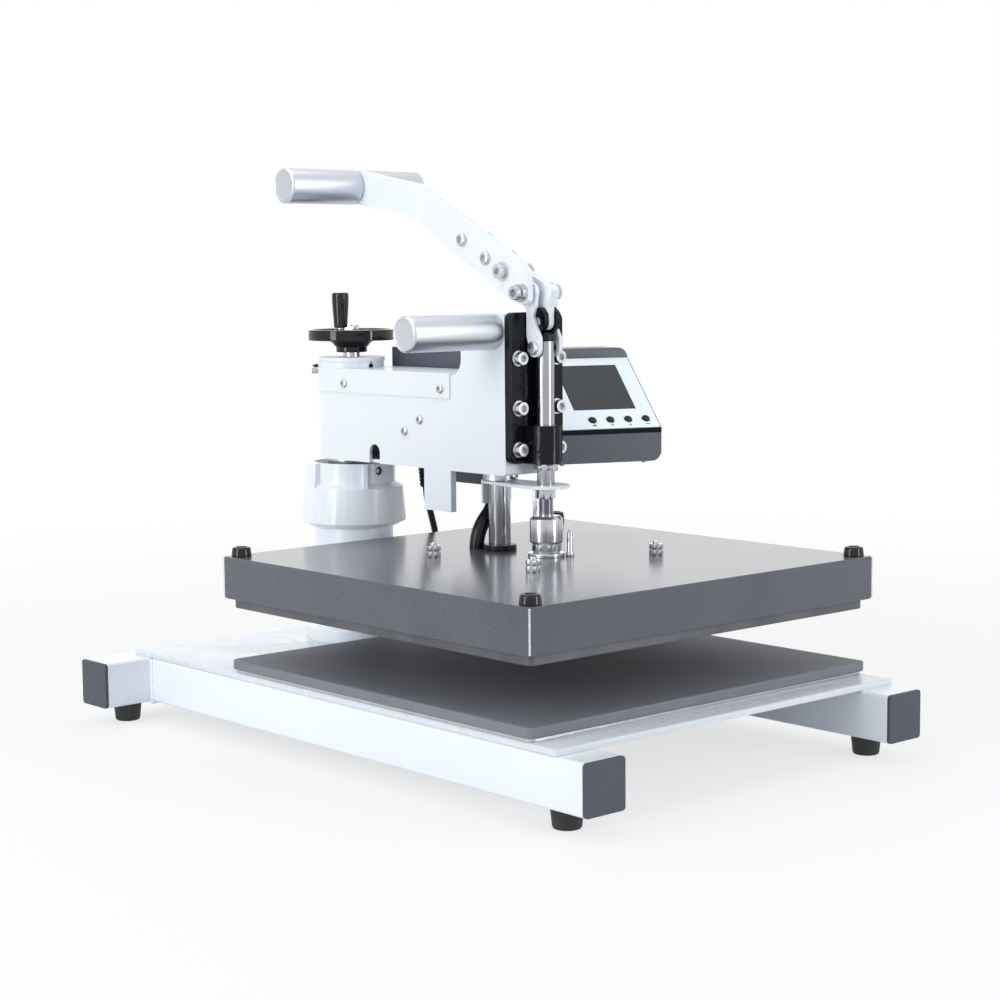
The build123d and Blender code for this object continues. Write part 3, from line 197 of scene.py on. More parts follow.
# Each finish: its colour, as a swatch's name or its own RGB, and its settings for surface().
FINISH_TABLE = {
    "Frame paint": ("paint", dict(
        roughness=0.34, shade=0.03, broad=6.0, grain=420.0, grain_bump=0.05, grain_depth=0.0003, coat=0.25,
        coat_roughness=0.12)),
    # The base plate's white is the frame paint darkened to 0.84: painted shade on the plate's top.
    "Shaded base plate paint": ("paint", dict(
        strength=0.84, roughness=0.28, shade=0.04, broad=8.0, grain=70.0, grain_bump=0.05, grain_depth=0.0004,
        coat=0.1, shine=0.35)),
    "Weld paint": ("paint", dict(
        roughness=0.36, shade=0.06, broad=60.0, grain=500.0, grain_bump=0.2, grain_depth=0.0004)),
    "Platen paint": ("platen", dict(
        roughness=0.22, spread=0.05, shade=0.10, broad=22.0, grain=1300.0, grain_bump=0.10, grain_depth=0.00012,
        coat=0.12, coat_roughness=0.10, speckle=0.55, speckle_scale=1500.0, shine=0.35)),
    "Box paint": ("box", dict(
        roughness=0.36, shade=0.05, grain=1500.0, grain_bump=0.14, grain_depth=0.00015, speckle=0.18, shine=0.3)),
    "Panel film": ("panel", dict(roughness=0.30, shade=0.02, broad=9.0, grain=1800.0, grain_bump=0.03)),
    "Panel print": ((0.10, 0.12, 0.16), dict(roughness=0.40, shade=0.05, grain=1800.0)),
    "Display window": ("display", dict(roughness=0.30, spread=0.02, broad=12.0, grain_bump=0.01, shine=0.13)),
    "Button film": ((0.008, 0.013, 0.026), dict(roughness=0.28, shade=0.1, grain=1500.0, shine=0.2)),
    # Near-black that stands in for shade: painted shade in the turret's hole and slit and in the control box's seam.
    "Painted shade black": ((0.004, 0.004, 0.005), dict(roughness=0.45, shade=0.1, grain=1200.0, shine=0.08)),
    "Silicone pad": ("pad", dict(
        roughness=0.62, broad=18.0, grain=1100.0, grain_bump=0.22, grain_depth=0.0002, speckle=0.15, shine=0.25)),
    "Tube plug": ("plugs", dict(
        roughness=0.46, shade=0.10, broad=40.0, grain=700.0, grain_bump=0.3, grain_depth=0.0003, speckle=0.2)),
    "Casting paint": ("casting", dict(
        roughness=0.14, spread=0.04, shade=0.15, grain=600.0, grain_bump=0.05, lumps=0.7, lump_scale=85.0,
        shine=0.2)),
    "Polished phenolic": ("phenolic", dict(
        roughness=0.07, spread=0.02, shade=0.1, grain=300.0, grain_bump=0.0, shine=0.4)),
    "Black plastic": ((0.014, 0.015, 0.018),
                      dict(roughness=0.24, spread=0.05, shade=0.1, grain_bump=0.08, shine=0.2)),
    "Foot rubber": ("rubber", dict(
        roughness=0.58, shade=0.15, broad=50.0, grain=1200.0, grain_bump=0.3, grain_depth=0.0003)),
    "Cable sheath": ("rubber", dict(roughness=0.40, broad=30.0, grain=700.0, grain_bump=0.10)),
    "Hose rubber": ((0.008, 0.009, 0.012), dict(
        roughness=0.16, spread=0.04, shade=0.1, broad=40.0, grain=500.0, grain_bump=0.05, shine=0.25)),
    "Anodised grip": ("aluminium", dict(
        metallic=1.0, roughness=0.36, spread=0.02, shade=0.02, grain=2200.0, grain_bump=0.015,
        stretch=(0.25, 1.0, 1.0))),
    "Ground shaft": ("steel", dict(
        metallic=1.0, roughness=0.17, grain=1000.0, grain_bump=0.03, stretch=(0.3, 0.3, 3.0))),
    "Zinc plate": ("zinc", dict(
        metallic=1.0, roughness=0.18, spread=0.07, shade=0.14, broad=90.0, grain=1500.0, grain_bump=0.03)),
    "Zinc sheet": ("zinc", dict(
        metallic=1.0, roughness=0.32, spread=0.10, shade=0.10, broad=35.0, grain=1100.0, grain_bump=0.06)),
    # The zinc colour lightened by 1.18, so screw heads, pins and the cover's corner beads read brighter: painted
    # sheen.
    "Zinc with painted sheen": ("zinc", dict(
        strength=1.18, metallic=1.0, roughness=0.30, broad=90.0, grain=1500.0, grain_bump=0.03)),
    "Heat plate": ((0.115, 0.120, 0.135), dict(
        metallic=0.5, roughness=0.42, spread=0.12, shade=0.25, broad=30.0, grain_bump=0.25, grain_depth=0.0003)),
    "Black steel": ((0.008, 0.009, 0.011), dict(
        metallic=0.1, roughness=0.30, shade=0.15, grain=1000.0, grain_bump=0.06, shine=0.25)),
    "Bearing bronze": ((0.50, 0.34, 0.16), dict(metallic=1.0, roughness=0.34, shade=0.12, stretch=(0.3, 0.3, 3.0))),
    "Circuit board": ((0.03, 0.16, 0.07), dict(
        roughness=0.42, shade=0.3, broad=160.0, speckle=0.6, speckle_scale=300.0)),
    "Heating tube": ((0.30, 0.30, 0.31), dict(metallic=0.9, roughness=0.42, shade=0.2, broad=60.0)),
    "Fibre blanket": ((0.66, 0.62, 0.54), dict(
        roughness=0.9, shade=0.12, broad=60.0, grain=500.0, grain_bump=0.6, grain_depth=0.0008)),
}
MADE_FINISHES = {}


def finish(name):
    """A named finish, made when it is first used."""
    if name not in MADE_FINISHES:
        colour, settings = FINISH_TABLE[name]
        if isinstance(colour, str):
            colour = tuple(getattr(bpy.context.scene.press_finishes, colour))
        MADE_FINISHES[name] = surface(name, colour, **settings)
    return MADE_FINISHES[name]


# ---- Shapes ----
def frame_of(*columns):
    """A frame from its X, Y and Z directions and its origin."""
    return Matrix([[column[i] for column in columns] for i in range(3)] + [[0, 0, 0, 1]])


class Extent:
    """A CAD node's box in millimetres: x0 to x1, y0 to y1 and z0 to z1, about the middle x, y and z."""

    def __init__(self, node):
        low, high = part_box(node)
        self.x0, self.y0, self.z0 = (value / MM for value in low)
        self.x1, self.y1, self.z1 = (value / MM for value in high)
        self.x, self.y, self.z = ((a + b) / 2 / MM for a, b in zip(low, high))
        self.half_x, self.half_y, self.half_z = ((b - a) / 2 / MM for a, b in zip(low, high))


def metres(point):
    """A point in metres from one in millimetres."""
    return tuple(value * MM for value in point)


def across(entry, angle):
    """The radius of a ring at one angle: round, or a hexagon's by its half width and its corners' limit."""
    if len(entry) == 2:
        return entry[0]
    half, _, limit = entry
    sixth = math.pi / 3
    return min(half / math.cos((angle % sixth) - sixth / 2), limit)


def on_axis(axis, centre, radius, angle, place):
    """A point at a radius and angle about an axis through a centre, in metres from millimetres."""
    x, y, z = centre
    c, s = radius * math.cos(angle), radius * math.sin(angle)
    if axis == "X":
        return Vector((place, y + c, z + s)) * MM
    if axis == "Y":
        return Vector((x + s, place, z + c)) * MM
    return Vector((x + c, y + s, place)) * MM


def bridge(bm, first, second):
    """Faces between two closed loops; a loop of one vertex is a point."""
    count = max(len(first), len(second))
    for step in range(count if len(first) + len(second) > 2 else 0):
        after = (step + 1) % count
        if len(first) == 1:
            corners = (first[0], second[step], second[after])
        elif len(second) == 1:
            corners = (first[step], first[after], second[0])
        else:
            corners = (first[step], first[after], second[after], second[step])
        bm.faces.new(corners)


def turn(bm, profile, centre=(0, 0, 0), axis="Z", steps=64, closed=False):
    """Add a turned shape: (radius, place) pairs, or (half width, place, limit) for a hexagon, about an axis."""
    loops = []
    for entry in profile:
        count = 1 if len(entry) == 2 and entry[0] < 1e-6 else steps
        angles = [2 * math.pi * step / count for step in range(count)]
        loops.append([bm.verts.new(on_axis(axis, centre, across(entry, angle), angle, entry[1]))
                      for angle in angles])
    for first, second in zip(loops, loops[1:] + loops[:1] if closed else loops[1:]):
        bridge(bm, first, second)


def eased(profile, radius):
    """A profile whose inner corners are rounded by a small radius, where it has plain (radius, place) corners."""
    out = [profile[0]]
    steps = 3
    for before, here, after in zip(profile, profile[1:], profile[2:]):
        if len(here) > 2 or len(before) > 2 or len(after) > 2 or here[0] < 1e-6:
            out.append(here)
            continue
        a, b, c = Vector(before), Vector(here), Vector(after)
        reach = min(radius, 0.45 * (a - b).length, 0.45 * (c - b).length)
        start, end = b + (a - b).normalized() * reach, b + (c - b).normalized() * reach
        for step in range(steps + 1):
            t = step / steps
            point = start * (1 - t) ** 2 + b * 2 * t * (1 - t) + end * t ** 2
            out.append((point.x, point.y))
    out.append(profile[-1])
    return out


def add_object(name, data):
    """An object at the origin, linked to the scene."""
    made = bpy.data.objects.new(name, data)
    bpy.context.scene.collection.objects.link(made)
    return made


def shaded(mesh, angle):
    """Smooth shading, with sharp edges past an angle in degrees."""
    mesh.shade_smooth()
    mesh.set_sharp_from_angle(angle=math.radians(angle))


def piece_from(name, bm, material, angle):
    """A shaded and finished mesh object from a bmesh."""
    mesh = bpy.data.meshes.new(name)
    bm.to_mesh(mesh)
    bm.free()
    shaded(mesh, angle)
    mesh.materials.append(finish(material))
    return add_object(name.replace(" ", "_"), mesh)


def new_piece(name, bm, material, angle=32.0):
    """A piece from a bmesh, with its normals outwards."""
    bmesh.ops.recalc_face_normals(bm, faces=bm.faces)
    return piece_from(name, bm, material, angle)


def belong(piece, node, own=True):
    """Let a piece ride on a CAD node's body; its own piece also stands for the node."""
    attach(piece, BODY_OF[node])
    if own:
        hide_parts(node)
    return piece


attend = partial(belong, own=False)


def turned(name, node, material, profile, centre, axis="Z", steps=72, ease=0.5, closed=False, own=True):
    """A turned piece of a node."""
    bm = bmesh.new()
    turn(bm, eased(profile, ease), centre, axis, steps, closed)
    return belong(new_piece(name, bm, material), node, own)


def softened(node, material, width, segments=2, merge=1.0, name=None):
    """A copy of a CAD node's mesh with merged facets and rounded edges."""
    bm = bmesh.new()
    bm.from_mesh(frame["nodes"][node].data)
    bmesh.ops.remove_doubles(bm, verts=bm.verts, dist=0.00001)
    bmesh.ops.dissolve_limit(bm, angle_limit=math.radians(merge), verts=bm.verts, edges=bm.edges)
    piece = piece_from(name or node.replace("_", " ").capitalize(), bm, material, 40.0)
    edge = piece.modifiers.new("Rounded edges", "BEVEL")
    edge.width = width
    edge.segments = segments
    edge.limit_method = "ANGLE"
    edge.angle_limit = math.radians(32.0)
    edge.harden_normals = True
    edge.use_clamp_overlap = True
    return belong(piece, node)


def painted(node, material):
    """Give a CAD node, whose shape is right, its finish."""
    mesh = frame["nodes"][node].data
    mesh.materials.clear()
    mesh.materials.append(finish(material))


# ---- Geometry Nodes: what repeats ----
class Tree:
    """A geometry node tree under construction, with named inputs that its nodes take by their labels."""

    def __init__(self, name, inputs):
        self.group = bpy.data.node_groups.new(name, "GeometryNodeTree")
        add_socket = self.group.interface.new_socket
        for side in ("OUTPUT", "INPUT"):
            add_socket(name="Geometry", in_out=side, socket_type="NodeSocketGeometry")
        self.keys = {label: add_socket(name=label, in_out="INPUT", socket_type="NodeSocket" + kind).identifier
                     for label, kind in inputs.items()}
        self.entry = add_node(self.group, "NodeGroupInput").outputs

    def node(self, kind, inputs=None, **settings):
        """Add a node; an input may also be the label of one of the tree's own inputs."""
        given = {socket: self.entry[source] if isinstance(source, str) and source in self.entry else source
                 for socket, source in (inputs or {}).items()}
        return add_node(self.group, kind, given, **settings)

    def instances(self, points, instance, rotation, *scale):
        """An instance on each point, scaled along X, Y and Z."""
        size = self.node("ShaderNodeCombineXYZ", dict(zip("XYZ", scale)))
        turn_by = {"Rotation": rotation} if rotation else {}
        return self.node("GeometryNodeInstanceOnPoints",
                         {"Points": points, "Instance": instance, "Scale": size, **turn_by})

    def close(self, geometry):
        """End the tree in real, finished geometry."""
        real = self.node("GeometryNodeRealizeInstances", {"Geometry": geometry})
        coated = self.node("GeometryNodeSetMaterial", {"Geometry": real, "Material": "Finish"})
        self.node("NodeGroupOutput", {"Geometry": coated})
        return self


def place_tree():
    """Like pieces at a set of places, each turned to its place's facing."""
    tree = Tree("Like pieces at places", {"Piece": "Object", "Size": "Float", "Finish": "Material"})
    facing = tree.node("GeometryNodeInputNamedAttribute", {"Name": "facing"}, data_type="FLOAT_VECTOR")
    spin = tree.node("GeometryNodeInputNamedAttribute", {"Name": "spin"}, data_type="FLOAT")
    aim = tree.node("FunctionNodeAlignRotationToVector", {"Vector": facing}, axis="Z")
    about = tree.node("FunctionNodeAxisAngleToRotation", {"Axis": UP, "Angle": spin})
    roll = tree.node("FunctionNodeRotateRotation", {"Rotation": aim, "Rotate By": about}, rotation_space="LOCAL")
    source = tree.node("GeometryNodeObjectInfo", {"Object": "Piece"}).outputs["Geometry"]
    return tree.close(tree.instances("Geometry", source, roll, "Size", "Size", "Size"))


def ring_tree():
    """Rings spaced along a line, such as ribs or a thread, from one size to another."""
    tree = Tree("Rings along a line", {
        "Start": "Vector", "End": "Vector", "Count": "Int", "Start Radius": "Float", "End Radius": "Float",
        "Ring Thickness": "Float", "Finish": "Material"})
    line = tree.node("GeometryNodeMeshLine", {"Count": "Count", "Start Location": "Start", "Offset": "End"},
                     mode="END_POINTS", count_mode="TOTAL")
    last = tree.node("ShaderNodeMath", {0: "Count", 1: 1.0}, operation="SUBTRACT")
    radius = tree.node("ShaderNodeMapRange", {
        "Value": tree.node("GeometryNodeInputIndex"), "From Max": last, "To Min": "Start Radius",
        "To Max": "End Radius"})
    circle = tree.node("GeometryNodeCurvePrimitiveCircle", {"Resolution": 28, "Radius": 1.0})
    section = tree.node("GeometryNodeCurvePrimitiveCircle", {"Resolution": 8, "Radius": "Ring Thickness"})
    along = tree.node("ShaderNodeVectorMath", {0: "End", 1: "Start"}, operation="SUBTRACT")
    aim = tree.node("FunctionNodeAlignRotationToVector", {"Vector": along}, axis="Z")
    real = tree.node("GeometryNodeRealizeInstances",
                     {"Geometry": tree.instances(line, circle, aim, radius, radius, 1.0)})
    return tree.close(tree.node("GeometryNodeCurveToMesh", {"Curve": real, "Profile Curve": section}))


def weld_tree():
    """A weld bead: overlapping ripples along each edge of the geometry."""
    tree = Tree("Weld bead", {"Bead Width": "Float", "Pitch": "Float", "Finish": "Material"})
    curve = tree.node("GeometryNodeMeshToCurve", {"Mesh": "Geometry"})
    points = tree.node("GeometryNodeCurveToPoints", {"Curve": curve, "Length": "Pitch"}, mode="LENGTH")
    ripple = tree.node("GeometryNodeMeshUVSphere", {"Segments": 12, "Rings": 8, "Radius": 0.5})
    return tree.close(tree.instances(points, ripple, None, "Bead Width", "Bead Width", "Bead Width"))


MADE_TREES = {}


def from_tree(name, node, material, maker, carrier_mesh, values, angle=32.0, own=True):
    """Run a tree on a carrier mesh and keep the result as one plain mesh, as a piece of a node."""
    if maker not in MADE_TREES:
        MADE_TREES[maker] = maker()
    tree = MADE_TREES[maker]
    carrier = add_object(name + " carrier", carrier_mesh)
    modifier = carrier.modifiers.new("Tree", "NODES")
    modifier.node_group = tree.group
    for label, value in dict(values, Finish=finish(material)).items():
        modifier[tree.keys[label]] = value
    bpy.context.view_layer.update()
    evaluated = carrier.evaluated_get(bpy.context.evaluated_depsgraph_get())
    mesh = bpy.data.meshes.new_from_object(evaluated)
    mesh.name = name
    carrier.modifiers.remove(modifier)
    bpy.data.objects.remove(carrier)
    if not mesh.polygons:
        raise RuntimeError(name + ": the tree made no faces")
    for attribute in ("facing", "spin"):
        if attribute in mesh.attributes:
            mesh.attributes.remove(mesh.attributes[attribute])
    shaded(mesh, angle)
    return belong(add_object(name.replace(" ", "_"), mesh), node, own)


def like_pieces(name, node, material, pattern, places, own=True):
    """Copies of a bmesh pattern, whose +Z is its outward side, at (place, facing, spin) in millimetres."""
    bmesh.ops.recalc_face_normals(pattern, faces=pattern.faces)
    mesh = bpy.data.meshes.new(name + " pattern")
    pattern.to_mesh(mesh)
    pattern.free()
    master = add_object(name + " pattern", mesh)
    carrier = bpy.data.meshes.new(name + " places")
    carrier.from_pydata([metres(place) for place, _, _ in places], [], [])
    facing = carrier.attributes.new("facing", "FLOAT_VECTOR", "POINT").name
    spin = carrier.attributes.new("spin", "FLOAT", "POINT").name
    for index, (_, direction, roll) in enumerate(places):
        carrier.attributes[facing].data[index].vector = direction
        carrier.attributes[spin].data[index].value = math.radians(roll)
    piece = from_tree(name, node, material, place_tree, carrier, {"Piece": master, "Size": 1.0}, own=own)
    bpy.data.objects.remove(master)
    return piece


def extra(name, node, material, pattern, place, facing, roll=0):
    """One more piece that attends a node, at a place in millimetres."""
    return like_pieces(name, node, material, pattern, [(place, facing, roll)], own=False)


def rings(name, node, material, start, end, count, radii, thickness):
    """Rings along a line, from one radius to another, in millimetres; they attend a node."""
    carrier = bpy.data.meshes.new(name + " line")
    carrier.from_pydata([(0.0, 0.0, 0.0)], [], [])
    first, last = metres(radii)
    return from_tree(name, node, material, ring_tree, carrier, {
        "Start": metres(start), "End": metres(end), "Count": count, "Start Radius": first, "End Radius": last,
        "Ring Thickness": thickness * MM}, 60.0, own=False)


def welds(name, node, material, runs, width, pitch):
    """Weld beads along runs, each a pair of ends in millimetres; they attend a node."""
    carrier = bpy.data.meshes.new(name + " runs")
    carrier.from_pydata([metres(end) for run in runs for end in run], [(2 * i, 2 * i + 1) for i in range(len(runs))],
                        [])
    return from_tree(name, node, material, weld_tree, carrier, {"Bead Width": width, "Pitch": pitch}, 70.0, own=False)


def rod(radius, low, high):
    """The profile of a plain rod."""
    return [(0, low), (radius, low), (radius, high), (0, high)]


def tube_wall(inner, outer, low, high):
    """The closed profile of a plain ring or tube."""
    return [(inner, low), (outer, low), (outer, high), (inner, high)]


def socket_screw(head_radius, head_height, socket_half, washer_radius=0.0, washer=0.0, shank_radius=0.0,
                 shank=0.0, dome=0.0):
    """A socket-head screw, its seat at the origin and its head along +Z; a dome makes it a button head."""
    bm = bmesh.new()
    if washer_radius:
        turn(bm, eased(rod(washer_radius, 0, washer), 0.25), steps=48)
    top = washer + head_height
    sides = [(0, washer), (head_radius, washer), (head_radius, top - dome)]
    if dome:
        sides += [(head_radius * 0.86, top - dome * 0.35), (head_radius * 0.62, top)]
    else:
        sides += [(head_radius * 0.74, top)]
    depth = top - head_height * 0.6
    hole = [(socket_half, top, 99.0), (socket_half, depth, 99.0), (0, depth)]
    turn(bm, eased(sides, 0.55) + hole, steps=48)
    if shank:
        turn(bm, rod(shank_radius, -shank, washer), steps=24)
    return bm


def hex_nut(half, height, bore=0.0):
    """A hexagon nut with chamfered corners, its seat at the origin; without a bore it is closed."""
    bm = bmesh.new()
    corner = half * 1.1547
    outer = [(half, 0, half * 1.02), (half, height * 0.12, corner), (half, height * 0.88, corner),
             (half, height, half * 1.02)]
    turn(bm, [(bore, 0)] + outer + [(bore, height)], steps=48, closed=bool(bore))
    return bm


# ---- Cords ----
def smooth_route(name, points, samples):
    """The points along a NURBS curve with these control points, in metres from millimetres."""
    curve = bpy.data.curves.new(name, "CURVE")
    curve.dimensions = "3D"
    curve.resolution_u = samples
    spline = curve.splines.new("NURBS")
    spline.points.add(len(points) - 1)
    for control, point in zip(spline.points, points):
        control.co = (*metres(point), 1.0)
    spline.order_u = 3
    spline.use_endpoint_u = True
    holder = add_object(name, curve)
    bpy.context.view_layer.update()
    mesh = bpy.data.meshes.new_from_object(holder.evaluated_get(bpy.context.evaluated_depsgraph_get()))
    line = [vertex.co.copy() for vertex in mesh.vertices]
    bpy.data.objects.remove(holder)
    return line


def tube(name, line, radius, material, sides=14):
    """A round tube along a line of points, with closed ends."""
    bm = bmesh.new()
    normal = None
    loops = []
    for index, point in enumerate(line):
        ahead = line[min(index + 1, len(line) - 1)] - line[max(index - 1, 0)]
        ahead.normalize()
        if normal is None:
            normal = ahead.orthogonal().normalized()
        normal = (normal - ahead * normal.dot(ahead)).normalized()
        side = ahead.cross(normal)
        angles = [2 * math.pi * step / sides for step in range(sides)]
        loops.append([bm.verts.new(point + (normal * math.cos(angle) + side * math.sin(angle)) * radius)
                      for angle in angles])
    for first, second in zip(loops, loops[1:]):
        bridge(bm, first, second)
    bm.faces.new(loops[0])
    bm.faces.new(loops[-1])
    return new_piece(name, bm, material, 60.0)


# The mains lead's way in millimetres, from the arm's gland down behind the base to the floor.
LEAD_DIAMETER = 6.2
LEAD_ROUTE = [
    (60.0, 176.0, 220.7), (61.0, 176.4, 195.0), (67.5, 178.0, 177.0), (80.0, 183.0, 147.0),
    (97.0, 204.0, 113.0), (111.0, 240.0, 92.0), (123.0, 282.0, 84.0), (131.0, 322.0, 68.0),
    (134.0, 346.0, 38.0), (134.0, 376.0, 3.1),
]
# The rest of the lead, put away in two flat layers of turns with its plug's end on top.
COIL_CENTRE = (89.0, 420.2)
COIL_OUTER = 45.0
COIL_PITCH = 8.2
COIL_LAYER = 7.2
COIL_TURNS = 2
COIL_TAIL = 42.0
COIL_STEPS = 8


def coil_points():
    """The put-away lead's control points: in along the floor, up a layer, and out again on top."""
    low = LEAD_DIAMETER / 2
    high = low + COIL_LAYER
    halves = [(-COIL_PITCH / 2, low, low)] * (2 * COIL_TURNS) + [(0.0, low, high)]
    halves += [(COIL_PITCH / 2, high, high)] * (2 * COIL_TURNS)
    cx, cy = COIL_CENTRE
    points = [(cx + COIL_OUTER, cy - LEAD_DIAMETER, low)]
    reach, side = COIL_OUTER, 1
    swell = 1.0 / math.cos(math.pi / (2 * COIL_STEPS)) ** 0.5
    for change, start_z, end_z in halves:
        start_x = cx + side * reach
        reach += change
        end_x = cx - side * reach
        middle, span = (start_x + end_x) / 2, abs(end_x - start_x) / 2 * side * swell
        for step in range(COIL_STEPS):
            part = (step + 0.5) / COIL_STEPS
            angle = math.pi * part
            points.append((middle + span * math.cos(angle), cy + span * math.sin(angle),
                           start_z + (end_z - start_z) * part))
        side = -side
    end_x = cx + side * reach
    return points + [(end_x, cy + side * COIL_TAIL * part, high) for part in (0.4, 1.0)]


PLUG_LENGTH = 34.0
PLUG_PIN_SIDE = 9.5
RELIEF_LENGTH = 36.8


def plug_body(plug):
    """The plug's round-cornered body, from its cord end forward; half its size is stretched by each share."""
    bm = bmesh.new()
    steps = 40
    shares = [(0.0, 0.25), (0.4, 0.30), (3.0, 0.46), (9.0, 0.72), (15.0, 0.93), (20.0, 1.0), (30.5, 1.0),
              (33.2, 0.97), (PLUG_LENGTH, 0.90), (PLUG_LENGTH, 0.0)]
    loops = []
    for along, share in shares:
        bulge = 0.55 if share > 0.4 else 1.0
        loop = []
        for step in range(steps):
            angle = 2 * math.pi * step / steps
            c, s = math.cos(angle), math.sin(angle)
            dx = plug.half_x * share * math.copysign(abs(c) ** bulge, c)
            dz = plug.half_z * min(1.0, share * 1.15) * math.copysign(abs(s) ** bulge, s)
            loop.append(bm.verts.new(metres((plug.x + dx, plug.y1 - along, plug.z + dz))))
        loops.append(loop)
    for first, second in zip(loops, loops[1:]):
        bridge(bm, first, second)
    bm.faces.new(loops[0])
    bmesh.ops.remove_doubles(bm, verts=bm.verts, dist=1e-6)
    return belong(new_piece("Mains plug", bm, "Black plastic", 50.0), "mains_plug")


class PRESS_OT_mains_lead(Operator):
    """Make the mains lead, its put-away coil, its strain relief and its plug"""
    bl_idname = "press.mains_lead"
    bl_label = "Mains lead"

    def execute(self, context):
        line = smooth_route("Lead line", LEAD_ROUTE + coil_points(), 8)
        lead = tube("Mains lead", line, LEAD_DIAMETER / 2 * MM, "Cable sheath")
        length = sum((after - before).length for before, after in zip(line, line[1:]))
        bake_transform(lead)
        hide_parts("mains_lead", "lead_coil")

        plug = Extent("mains_plug")
        body = plug_body(plug)
        bm = bmesh.new()
        front = plug.y1 - PLUG_LENGTH
        for side in SIDES:
            pin = [(0, front + 1.5), (2.4, front + 1.5), (2.4, front - 15.5), (1.6, front - 17.6), (0, front - 18.0)]
            turn(bm, eased(pin, 0.4), (plug.x + side * PLUG_PIN_SIDE, 0, plug.z), "Y", 28)
        pins = attend(new_piece("Plug pins", bm, "Zinc plate"), "mains_plug")
        grip = rings("Plug grip ribs", "mains_plug", "Black plastic", (plug.x, plug.y1 - 2.6, plug.z),
                     (plug.x, plug.y1 - 12.0, plug.z), 5, (5.4, 11.2), 0.5)
        tuple(line[0])
        [tuple(point) for point in line]

        x, y, _ = LEAD_ROUTE[0]
        top = Extent("lead_gland").z1 - 3.5
        hole, tip = LEAD_DIAMETER / 2 + 0.05, top - RELIEF_LENGTH
        relief = [(hole, top), (7.6, top), (8.0, top - 1.4), (8.0, top - 6.6), (6.6, top - 7.4), (5.9, top - 14.0),
                  (5.0, top - 26.0), (4.3, tip + 1.4), (3.9, tip), (hole, tip)]
        turned("Strain relief", "lead_gland", "Black plastic", relief, (x, y, 0), closed=True)
        rings("Strain relief rings", "lead_gland", "Black plastic", (x, y, top - 10.0), (x, y, tip + 2.8),
              context.scene.press_sizes.relief_rings, (6.2, 4.35), 0.75)
        extra("Gland nut", "lead_gland", "Black plastic", hex_nut(9.5, 4.0, 6.2), (x, y, top - 5.0), UP)
        return {"FINISHED"}


RAIL_WIDTH = 40.0
FOOT_RADIUS, FOOT_HEIGHT = 12.5, 17.0
PLATE_WELD_STARTS = (-225.0, -110.0, 10.0, 130.0)
PLATE_WELD_LENGTH = 26.0


class PRESS_OT_base_frame(Operator):
    """Make the base's tubes, their plugs and welds, and the rubber feet"""
    bl_idname = "press.base_frame"
    bl_label = "Base frame"

    def execute(self, context):
        sizes = context.scene.press_sizes
        for node in ("left_rail", "right_rail", "rear_rail"):
            softened(node, "Frame paint", sizes.tube_edge, 2, 0.5)
        plugs = softened("rail_end_caps", "Tube plug", 0.0011, 3, 0.5, "Tube plugs")
        plugs.modifiers["Rounded edges"].angle_limit = math.radians(50.0)

        feet, rail, cross = Extent("rubber_feet"), Extent("right_rail"), Extent("rear_rail")
        front = Extent("left_rail").y0 - 3.0 + RAIL_WIDTH
        rear_x = feet.half_x - FOOT_RADIUS
        bm = bmesh.new()
        foot = [(0, FOOT_HEIGHT), (FOOT_RADIUS, FOOT_HEIGHT), (FOOT_RADIUS, FOOT_HEIGHT - 1.8), (11.0, 1.6),
                (10.2, 0.3), (9.0, 0), (6.0, 0), (5.2, 1.2), (0, 1.2)]
        turn(bm, eased(foot, 0.7), steps=48)
        spots = ((-rail.x, front), (rail.x, front), (-rear_x, cross.y), (rear_x, cross.y))
        like_pieces("Rubber feet", "rubber_feet", "Foot rubber", bm, [((x, y, 0), UP, 0) for x, y in spots])

        seam = cross.y - RAIL_WIDTH / 2
        plate = Extent("base_plate")
        low, high, under = rail.z0 + 3.5, rail.z1 - 3.5, rail.z0 + 0.3
        runs, plate_runs = [], []
        for sign in SIDES:
            near, far = sign * (rail.x - RAIL_WIDTH / 2), sign * (rail.x + RAIL_WIDTH / 2)
            runs += [((near, seam, low), (near, seam, high)), ((far, seam, low), (far, seam, high)),
                     ((near, seam, under), (far, seam, under))]
            x, z = sign * (plate.x1 - RAIL_WIDTH - 0.3), plate.z0 - 0.4
            plate_runs += [((x, y, z), (x, y + PLATE_WELD_LENGTH, z)) for y in PLATE_WELD_STARTS]
        welds("Base welds", "rear_rail", "Weld paint", runs + plate_runs, sizes.weld_width, sizes.weld_pitch)
        return {"FINISHED"}


class PRESS_OT_table(Operator):
    """Make the base plate, the lower platen and its silicone pad"""
    bl_idname = "press.table"
    bl_label = "Table and pad"

    def execute(self, context):
        softened("base_plate", "Shaded base plate paint", 0.0005)
        softened("lower_platen", "Zinc sheet", 0.0004)
        softened("silicone_pad", "Silicone pad", context.scene.press_sizes.pad_edge, 4)
        return {"FINISHED"}


COLUMN_BORE, COLUMN_RADIUS, COLUMN_FOOT = 28.0, 36.0, 46.0
POST_RADIUS = 24.0


